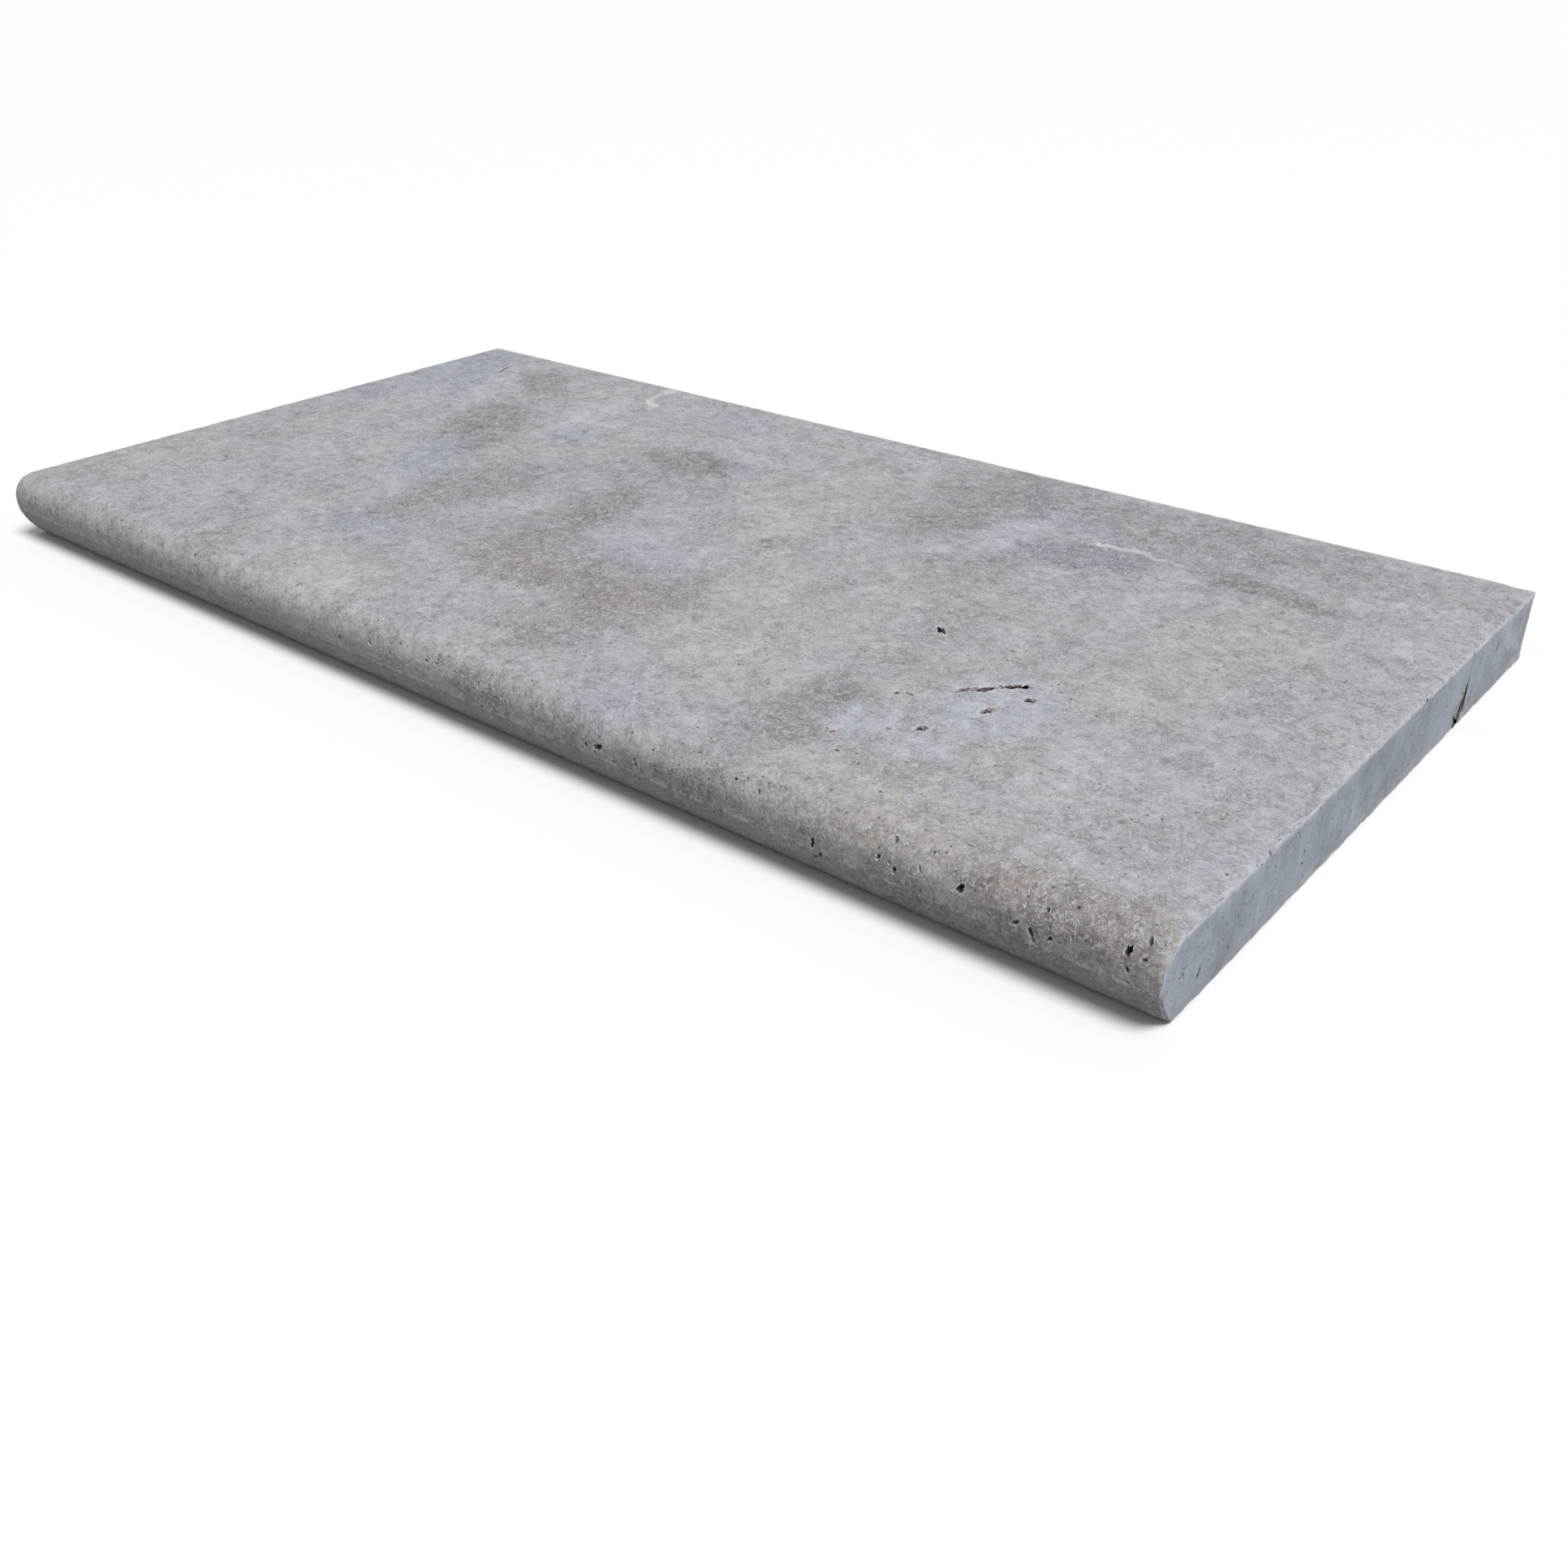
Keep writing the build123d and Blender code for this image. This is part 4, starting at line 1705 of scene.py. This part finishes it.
@dataclass(frozen=True)
class TumbledFinish:
    """The brushed and tumbled faces: mottled grey-lavender with beige, blue and brown clouds.

    Attributes:
        grain_mm: Size of the crystals.
        mottle_mm: Size of the mottling.
        blotch_mm: Size of the blotches.
        contrasts: Strength of the fabric's values in the colour.
        clouds: Wide clouds over the whole stone, the lowest first.
        rust_specks: Rusty specks of the nose.
        rust_areas: Areas in which they lie.
        crust: Pale crust of the nose.
        warm_share: How much warmer the nose is.
        painted_shade_share: Strength of the painted shade that darkens its underside.
        flakes: Strength of the pale flakes, the dark ones and the veins.
        crease_mm: Height of the crease above the bed.
        scuff_share: Strength of the pale scuff on the crease.
        worn_share: Strength of the worn band along the arrises.
        pore_share: Strength of the pinholes.
        pore_mm: Distance between the places where a pinhole may be.
        nose_mm: Height at which the nose begins below the top face, and at which its look is full.
        warm_mm: The same for its warmer tone.
        smooth_mm: The same for its smoother lower part.
        painted_shade_mm: The same for the painted shade that darkens its underside.
        calm: Change of the contrasts in the smooth part and in the round part.
        flecked_mm: X at which the rust, crust and scuff are weakest, and at which they are full.
        flecked_least: Their least share.
        scuff_mm: Distance from the crease at which the scuff ends, and at which it is full.
        scuff_gaps: Mottling at which the scuff begins, and at which it is full.
        worn_band: Unevenness of the worn band, nearness at which it begins, and at which it is full.
        roughness: Its least value and what the mottling adds.
        bumps: Height of each value of the fabric in the bump, in millimetres.
        pore_bump_mm: Depth of the pinholes in the bump, in millimetres.
    """

    grain_mm: float = 1.25
    mottle_mm: float = 4.6
    blotch_mm: float = 15.0
    contrasts: tuple = (("Grain", 0.8), ("Mottle", 1.25), ("Blotch", 0.9))
    clouds: tuple[Cloud, ...] = (
        Cloud(Tone.BEIGE, 70.0, 0.45, 0.65, 0.6),
        Cloud(Tone.DARK, 42.0, 0.48, 0.68, 0.2, 57.0),
        Cloud(Tone.PALE, 28.0, 0.5, 0.7, 0.14, 83.0),
    )
    rust_specks: Cloud = Cloud(Tone.RUST, 2.6, 0.55, 0.64, 0.6, 19.0)
    rust_areas: Cloud = Cloud(Tone.RUST, 20.0, 0.46, 0.6, 1.0, 7.0)
    crust: Cloud = Cloud(Tone.PALE, 1.5, 0.6, 0.67, 0.6, 113.0)
    warm_share: float = 0.5
    painted_shade_share: float = 0.6
    flakes: tuple = (("Pale", Tone.PALE, 0.42), ("Dark", Tone.DARK, 0.6), ("Vein", Tone.PALE, 0.8))
    crease_mm: float = 14.5
    scuff_share: float = 0.95
    worn_share: float = 0.6
    # pore_share: Strength of the pinholes' painted shade.
    pore_share: float = 0.75
    pore_mm: float = 2.6
    nose_mm: tuple[float, float] = (29.6, 26.0)
    warm_mm: tuple[float, float] = (29.8, 26.0)
    smooth_mm: tuple[float, float] = (15.0, 13.0)
    painted_shade_mm: tuple[float, float] = (21.0, 8.0)
    calm: tuple[float, float] = (-0.5, 0.12)
    flecked_mm: tuple[float, float] = (-120.0, 160.0)
    flecked_least: float = 0.35
    scuff_mm: tuple[float, float] = (1.0, 0.3)
    scuff_gaps: tuple[float, float] = (0.5, 0.62)
    worn_band: tuple[float, float, float] = (0.5, 0.6, 0.95)
    roughness: tuple[float, float] = (0.62, 0.25)
    bumps: tuple = (("Grain", 0.15), ("Mottle", 0.35), ("Pale", 0.08))
    pore_bump_mm: float = -0.3

    def build(self, groups: StoneGroups) -> bpy.types.Material:
        """Build the material.

        Args:
            groups: The groups that the finishes share.

        Returns:
            The material.
        """
        tree = FinishTree("travertine_tumbled", groups)
        colour = Tone.LAVENDER.rgba
        for cloud in self.clouds:
            colour = tree.coat(colour, cloud.tone, tree.cloud(cloud), cloud.strength)
        grain = tree.grain(self.grain_mm, self.mottle_mm, self.blotch_mm)
        smooth = tree.ramp(tree.height, *self.smooth_mm)
        round_nose = tree.times(tree.ramp(tree.height, *self.nose_mm), tree.minus(1.0, smooth))
        colour = tree.coat(colour, Tone.WARM, tree.ramp(tree.height, *self.warm_mm), self.warm_share)
        colour = tree.patched(colour, TOP_PATCHES + NOSE_PATCHES)
        calm = 1.0
        for part, change in ((round_nose, self.calm[1]), (smooth, self.calm[0])):
            calm = tree.math("MULTIPLY_ADD", part, change, calm)
        lift = tree.lifted(grain, dict(self.contrasts), calm)
        rightward = tree.ramp(tree.along, *self.flecked_mm, (self.flecked_least, 1.0))
        flecked = tree.times(round_nose, rightward)
        rusty = tree.times(tree.cloud(self.rust_specks), tree.cloud(self.rust_areas))
        colour = tree.coat(colour, Tone.RUST, rusty, tree.times(flecked, self.rust_specks.strength))
        # Painted shade: the nose darkens towards the bed, where less light falls on its underside.
        colour = tree.coat(colour, Tone.PAINTED_SHADE, tree.ramp(tree.height, *self.painted_shade_mm), self.painted_shade_share)
        colour = tree.scaled(colour, lift)
        for name, tone, strength in self.flakes:
            colour = tree.coat(colour, tone, grain.outputs[name], strength)
        colour = tree.coat(colour, Tone.PALE, tree.cloud(self.crust), tree.times(flecked, self.crust.strength))
        scuff = tree.ramp(tree.math("ABSOLUTE", tree.minus(tree.height, self.crease_mm)), *self.scuff_mm)
        scuff = tree.times(scuff, tree.ramp(grain.outputs["Mottle"], *self.scuff_gaps))
        colour = tree.coat(colour, Tone.PALE, scuff, tree.times(rightward, self.scuff_share))
        colour = tree.coat(colour, Tone.PALE, tree.worn(grain, *self.worn_band), self.worn_share)
        pores = tree.pores(self.pore_mm)
        # Painted shade of the pinholes: dark dots laid in the colour.
        colour = tree.coat(colour, Tone.HOLLOW_SHADE, pores, self.pore_share)
        least, more = self.roughness
        rough = tree.math("MULTIPLY_ADD", grain.outputs["Mottle"], more, least)
        bumps = [(grain.outputs[name], size) for name, size in self.bumps]
        return tree.shaded(colour, rough, bumps + [(pores, self.pore_bump_mm)])


@dataclass(frozen=True)
class SawnFinish:
    """The sawn ends: smooth blue-grey, partly their own colour and partly a painted cool tint of sky light, with faint
    steep streaks and a pale worn rim.

    Attributes:
        streak_mm: Width of the saw's streaks.
        streak_rise: How little the streaks change upwards, per millimetre.
        streak_contrast: Strength of the streaks in the colour.
        grains_mm: Sizes of the crystals, the mottling and the blotches.
        clouds: Darker clouds in the sawn face.
        contrasts: Strength of the fabric's values in the colour.
        worn_share: Strength of the worn rim.
        worn_band: Unevenness of that rim, nearness at which it begins, and at which it is full.
        pore_share: Strength of the pinholes.
        pore_mm: Distance between the places where a pinhole may be.
        roughness: Its least value and what the mottling adds.
        bumps_mm: Height of the crystals, the streaks, the mottling and the pinholes in the bump.
    """

    streak_mm: float = 1.6
    streak_rise: float = 0.07
    streak_contrast: float = 0.3
    grains_mm: tuple[float, float, float] = (1.0, 4.0, 12.0)
    clouds: Cloud = Cloud(Tone.SAWN_DARK, 26.0, 0.4, 0.66)
    contrasts: tuple = (("Grain", 0.4), ("Mottle", 0.4), ("Blotch", 0.35))
    worn_share: float = 0.8
    worn_band: tuple[float, float, float] = (0.6, 0.52, 0.78)
    # pore_share: Strength of the pinholes' painted shade.
    pore_share: float = 0.7
    pore_mm: float = 2.4
    roughness: tuple[float, float] = (0.6, 0.2)
    bumps_mm: tuple[float, float, float, float] = (0.08, 0.12, 0.15, -0.3)

    def build(self, groups: StoneGroups) -> bpy.types.Material:
        """Build the material.

        Args:
            groups: The groups that the finishes share.

        Returns:
            The material.
        """
        tree = FinishTree("travertine_sawn", groups)
        # The base is partly painted light: its blue tint stands in for cool sky light on the ends.
        colour = tree.coat(Tone.SAWN.rgba, self.clouds.tone, tree.cloud(self.clouds))
        colour = tree.patched(colour, END_PATCHES)
        grain = tree.grain(*self.grains_mm)
        stretched = tree.vector("MULTIPLY", tree.place, (1.0, 1.0 / self.streak_mm, self.streak_rise))
        streak = tree.add("ShaderNodeTexNoise", {"Vector": stretched, "Scale": 1.0, "Detail": 2.0}).outputs[0]
        lift = tree.lifted(grain, dict(self.contrasts))
        lift = tree.math("MULTIPLY_ADD", tree.minus(streak, 0.5), self.streak_contrast, lift)
        colour = tree.scaled(colour, lift)
        colour = tree.coat(colour, Tone.PALE, tree.worn(grain, *self.worn_band), self.worn_share)
        pores = tree.pores(self.pore_mm)
        # Painted shade of the pinholes: dark dots laid in the colour.
        colour = tree.coat(colour, Tone.HOLLOW_SHADE, pores, self.pore_share)
        least, more = self.roughness
        rough = tree.math("MULTIPLY_ADD", grain.outputs["Mottle"], more, least)
        heights = (grain.outputs["Grain"], streak, grain.outputs["Mottle"], pores)
        return tree.shaded(colour, rough, list(zip(heights, self.bumps_mm)))


@dataclass(frozen=True)
class VoidLining:
    """The inside of the voids: crumbly tan at the mouth, darkened below by painted shade.

    Attributes:
        pale_mm: Depth at which the pale rim begins to darken.
        rim_mm: Depth of the pale rim.
        shade_depth_mm: Depth at which the painted shade has made the lining dark.
        uneven_mm: How uneven these depths are.
        grains_mm: Sizes of the crystals, the mottling and the blotches.
        roughness: Its roughness.
        bumps: Height of each value of the fabric in the bump, in millimetres.
    """

    pale_mm: float = 0.3
    rim_mm: float = 0.75
    shade_depth_mm: float = 1.45
    uneven_mm: float = 0.8
    grains_mm: tuple[float, float, float] = (0.7, 2.2, 6.0)
    roughness: float = 0.92
    bumps: tuple = (("Grain", 0.3), ("Mottle", 0.4))

    def build(self, groups: StoneGroups) -> bpy.types.Material:
        """Build the material.

        Args:
            groups: The groups that the finishes share.

        Returns:
            The material.
        """
        tree = FinishTree("travertine_lining", groups)
        grain = tree.grain(*self.grains_mm)
        uneven = tree.minus(grain.outputs["Mottle"], 0.5)
        depth = tree.math("MULTIPLY_ADD", uneven, self.uneven_mm, tree.share("below_face"))
        colour = tree.coat(Tone.PALE.rgba, Tone.CRUMB, tree.ramp(depth, self.pale_mm, self.rim_mm))
        # Painted shade: the lining darkens with depth, where less light reaches into the void.
        colour = tree.coat(colour, Tone.HOLLOW_SHADE, tree.ramp(depth, self.rim_mm, self.shade_depth_mm))
        return tree.shaded(colour, self.roughness, [(grain.outputs[name], size) for name, size in self.bumps])


@dataclass
class Studio:
    """The pale floor, the soft light and the camera.

    Attributes:
        lens_mm: Focal length on a square 36 mm sensor.
        sensor_mm: Width of that sensor.
        place: Camera's place in metres.
        turn_degrees: Camera's rotation.
        shift: Camera's lens shift.
        sight: Nearest and farthest distance that the camera sees, in metres.
        floor_half: Half size of the floor in metres.
        floor_colour: The floor's colour as it shows.
        floor_bounce: Its colour in the light that it throws on the stone.
        floor_roughness: Its roughness.
        sun_strength: Strength of the lamp.
        sun_angle_degrees: Its size in the sky, which makes its light soft.
        sun_from: Direction that it shines from.
        sky_strength: Strength of the light from all sides.
    """

    lens_mm: float = 35.14
    sensor_mm: float = 36.0
    place: tuple[float, float, float] = (0.43551, -0.45947, 0.26639)
    turn_degrees: tuple[float, float, float] = (59.21, 0.403, 39.18)
    shift: tuple[float, float] = (-0.0126, 0.0130)
    sight: tuple[float, float] = (0.01, 800.0)
    floor_half: float = 200.0
    floor_colour: Colour = (0.75, 0.75, 0.755)
    floor_bounce: Colour = (0.36, 0.36, 0.36)
    floor_roughness: float = 0.9
    sun_strength: float = 3.4
    sun_angle_degrees: float = 28.0
    sun_from: tuple[float, float, float] = (0.42, -0.08, 0.90)
    sky_strength: float = 0.38

    def build(self) -> list[bpy.types.Object]:
        """Build the camera, the floor, the lamp and the sky.

        Returns:
            The objects of the first three.
        """
        stage = [self.camera(), self.floor(), self.lamp()]
        self.sky()
        bpy.context.scene.view_settings.view_transform = "Standard"
        return stage

    def camera(self) -> bpy.types.Object:
        """Build the camera and look through it.

        Returns:
            Its object.
        """
        camera = bpy.data.cameras.new("camera")
        camera.lens = self.lens_mm
        camera.sensor_width = self.sensor_mm
        camera.sensor_fit = "HORIZONTAL"
        camera.shift_x, camera.shift_y = self.shift
        camera.clip_start, camera.clip_end = self.sight
        eye = bpy.data.objects.new("camera", camera)
        eye.location = self.place
        eye.rotation_euler = [math.radians(a) for a in self.turn_degrees]
        bpy.context.scene.collection.objects.link(eye)
        bpy.context.scene.camera = eye
        return eye

    def floor(self) -> bpy.types.Object:
        """Build the floor.

        Returns:
            Its object.
        """
        corners = [(x * self.floor_half, y * self.floor_half, 0) for x, y in ((-1, -1), (1, -1), (1, 1), (-1, 1))]
        mesh = bpy.data.meshes.new("floor")
        mesh.from_pydata(corners, [], [(0, 1, 2, 3)])
        mesh.materials.append(self.floor_finish())
        floor = bpy.data.objects.new("floor", mesh)
        bpy.context.scene.collection.objects.link(floor)
        return floor

    def lamp(self) -> bpy.types.Object:
        """Build the large soft lamp.

        Returns:
            Its object.
        """
        sun = bpy.data.lights.new("sun", "SUN")
        sun.energy = self.sun_strength
        sun.angle = math.radians(self.sun_angle_degrees)
        lamp = bpy.data.objects.new("sun", sun)
        lamp.rotation_euler = Vector(self.sun_from).to_track_quat("Z", "Y").to_euler()
        bpy.context.scene.collection.objects.link(lamp)
        return lamp

    def sky(self) -> None:
        """Light the stone from all sides, and show the camera plain white behind the floor."""
        world = bpy.data.worlds.new("world")
        world.use_nodes = True
        tree = Tree(world.node_tree)
        background = world.node_tree.nodes["Background"]
        background.inputs["Color"].default_value = (1.0, 1.0, 1.0, 1.0)
        seen = tree.add("ShaderNodeLightPath").outputs["Is Camera Ray"]
        strength = tree.math("MULTIPLY_ADD", seen, 1 - self.sky_strength, self.sky_strength)
        tree.feed(background.inputs["Strength"], strength)
        bpy.context.scene.world = world

    def floor_finish(self) -> bpy.types.Material:
        """Build a matt pale floor that throws back less light on the stone than it shows, as a darker bed would.

        Returns:
            The material.
        """
        material = bpy.data.materials.new("floor")
        material.use_nodes = True
        tree = Tree(material.node_tree)
        shader = material.node_tree.nodes["Principled BSDF"]
        seen = tree.add("ShaderNodeLightPath").outputs["Is Camera Ray"]
        tree.feed(shader.inputs["Base Color"], tree.mix(seen, (*self.floor_bounce, 1.0), (*self.floor_colour, 1.0)))
        shader.inputs["Roughness"].default_value = self.floor_roughness
        return material


@dataclass
class CopingStone:
    """The whole stone: slab, tumbling, voids and finishes.

    Attributes:
        size: Sizes of the stone.
        tumbling: The tumbling barrel's work.
        sawn_slope: Least X of a face's normal that makes it part of a sawn end.
        sharp_degrees: Angle from which two faces meet in a sharp edge.
        arris_mm: Reach of the arrises for the tumbling, and for the worn band in the finishes.
        right_zone_mm: Length of the right end's zone, where the wear is full.
        plain_wear: Share of the wear elsewhere.
        crease_band_mm: How far from the crease an edge still belongs to it, in height and in depth.
    """

    size: StoneSize
    tumbling: Tumbling = field(default_factory=Tumbling)
    sawn_slope: float = 0.75
    sharp_degrees: float = 38.0
    arris_mm: tuple[float, float] = (2.5, 2.0)
    right_zone_mm: float = 12.0
    plain_wear: float = 0.3
    crease_band_mm: tuple[float, float] = (0.3, 1.2)

    def build(self) -> bpy.types.Object:
        """Build and dress the stone.

        Returns:
            The finished object.
        """
        section = NoseSection(self.size)
        gauge = SurfaceGauge(self.size, section)
        slab = CopingSlab(self.size, section).build()
        log.info("slab: %d faces", len(slab.data.polygons))
        groups = StoneGroups()
        looks = {
            Finish.TUMBLED: TumbledFinish().build(groups),
            Finish.SAWN: SawnFinish().build(groups),
            Finish.LINING: VoidLining().build(groups),
        }
        self.tumble(slab, gauge, looks)
        self.open_voids(slab, gauge, looks[Finish.LINING])
        self.dress(slab.data, gauge)
        slab.data.calc_loop_triangles()
        log.info("%s: %d triangles", slab.name, len(slab.data.loop_triangles))
        return slab

    def tumble(self, slab: bpy.types.Object, gauge: SurfaceGauge, looks: dict[Finish, bpy.types.Material]) -> None:
        """Wear the slab, and give its sides their finishes.

        Args:
            slab: The slab.
            gauge: The gauge that reads and paints the mesh.
            looks: The material of each finish.
        """
        points = gauge.points(slab.data)
        at_right = points[:, 0] > self.size.half_length_mm - self.right_zone_mm
        wear = self.plain_wear + (1 - self.plain_wear) * at_right
        gauge.paint(slab.data, "arris", wear * gauge.arris(points, self.arris_mm[0]))
        self.tumbling.wear(slab, looks[Finish.TUMBLED])
        for finish in (Finish.SAWN, Finish.LINING):
            slab.data.materials.append(looks[finish])
        for polygon in slab.data.polygons:
            if abs(polygon.normal.x) > self.sawn_slope:
                polygon.material_index = Finish.SAWN.value

    def open_voids(self, slab: bpy.types.Object, gauge: SurfaceGauge, lining: bpy.types.Material) -> None:
        """Cut the scattered voids, then the rims of the listed ones, then these themselves.

        Args:
            slab: The tumbled slab.
            gauge: The gauge that reads and paints the mesh.
            lining: The material of their inside.
        """
        self.share_out(gauge, slab.data)
        voids = NaturalVoids(self.size)
        scatter = voids.tree()
        for zone in VOID_ZONES:
            cutters = voids.scattered(slab, scatter, zone, lining)
            log.info("%s: %d faces of cutters", zone.share_name, len(cutters.polygons))
            voids.cut(slab, cutters)
        for rims in (True, False):
            voids.cut(slab, voids.placed(lining, rims))
        voids.drop_crumbs(slab.data)

    def dress(self, mesh: bpy.types.Mesh, gauge: SurfaceGauge) -> None:
        """Store what the finishes read, and smooth the shading between sharp edges.

        Args:
            mesh: The finished mesh.
            gauge: The gauge that reads and paints it.
        """
        points = gauge.points(mesh)
        gauge.paint(mesh, "below_face", gauge.depth(points))
        gauge.paint(mesh, "arris", gauge.arris(points, self.arris_mm[1]))
        gauge.paint(mesh, "pore_share", 0.1 + 0.25 * np.clip((-points[:, 1] - 120) / 20, 0, 1))
        for polygon in mesh.polygons:
            polygon.use_smooth = True
        mesh.set_sharp_from_angle(angle=math.radians(self.sharp_degrees))
        self.sharpen_crease(gauge, mesh)

    def sharpen_crease(self, gauge: SurfaceGauge, mesh: bpy.types.Mesh) -> None:
        """Mark the crease of the nose as a sharp edge.

        Args:
            gauge: The gauge that reads the mesh.
            mesh: The finished mesh.
        """
        _, y, z = gauge.points(mesh).T
        crease_mm = self.size.thickness_mm - self.size.nose_crease_drop_mm
        above, behind = self.crease_band_mm
        near = (np.abs(z - crease_mm) < above) & (y < self.size.front_mm + behind)
        ends = np.zeros(len(mesh.edges) * 2, np.int32)
        mesh.edges.foreach_get("vertices", ends)
        sharp = np.zeros(len(mesh.edges), bool)
        mesh.edges.foreach_get("use_edge_sharp", sharp)
        mesh.edges.foreach_set("use_edge_sharp", sharp | near[ends].reshape(-1, 2).all(axis=1))

    def share_out(self, gauge: SurfaceGauge, mesh: bpy.types.Mesh) -> None:
        """Store how many voids each side of the stone has: most in the nose and towards the right.

        Args:
            gauge: The gauge that reads and paints the mesh.
            mesh: The slab's mesh.
        """
        x, y, z = gauge.points(mesh).T
        s = self.size
        skin, nose_reach, fade = 0.7, 22, 12
        at_end = np.abs(x) > s.half_length_mm - skin
        at_back = y > s.depth_mm / 2 - skin
        under = z < skin
        nose = np.clip((s.front_mm + nose_reach - y) / fade, 0, 1) * ~at_end * ~under
        rightward = np.clip((x + 120) / 200, 0, 1)
        near_nose = np.clip((-y - 60) / 70, 0, 1)
        top = (z > s.thickness_mm - 1.5) * (0.12 + 0.88 * np.maximum(rightward * near_nose, 0.35 * rightward)) * ~at_end
        gauge.paint(mesh, "nose_share", nose * (0.45 + 0.55 * np.clip((x + 200) / 300, 0, 1)))
        gauge.paint(mesh, "top_share", top * (1 - nose))
        gauge.paint(mesh, "end_share", at_end * np.clip((s.thickness_mm - z) / 3, 0, 1))
        gauge.paint(mesh, "back_share", (at_back | under) * 1.0 * ~at_end)


def main() -> None:
    """Load the frame, build the stone and the stage, and note the sizes."""
    logging.basicConfig(level=logging.INFO)
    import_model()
    for stage in Studio().build():
        log.info("stage: %s", stage.name)
    stone = CopingStone(StoneSize.from_frame()).build()
    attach(stone, BODY)
    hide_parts(NODE)


if __name__ == "__main__":
    main()
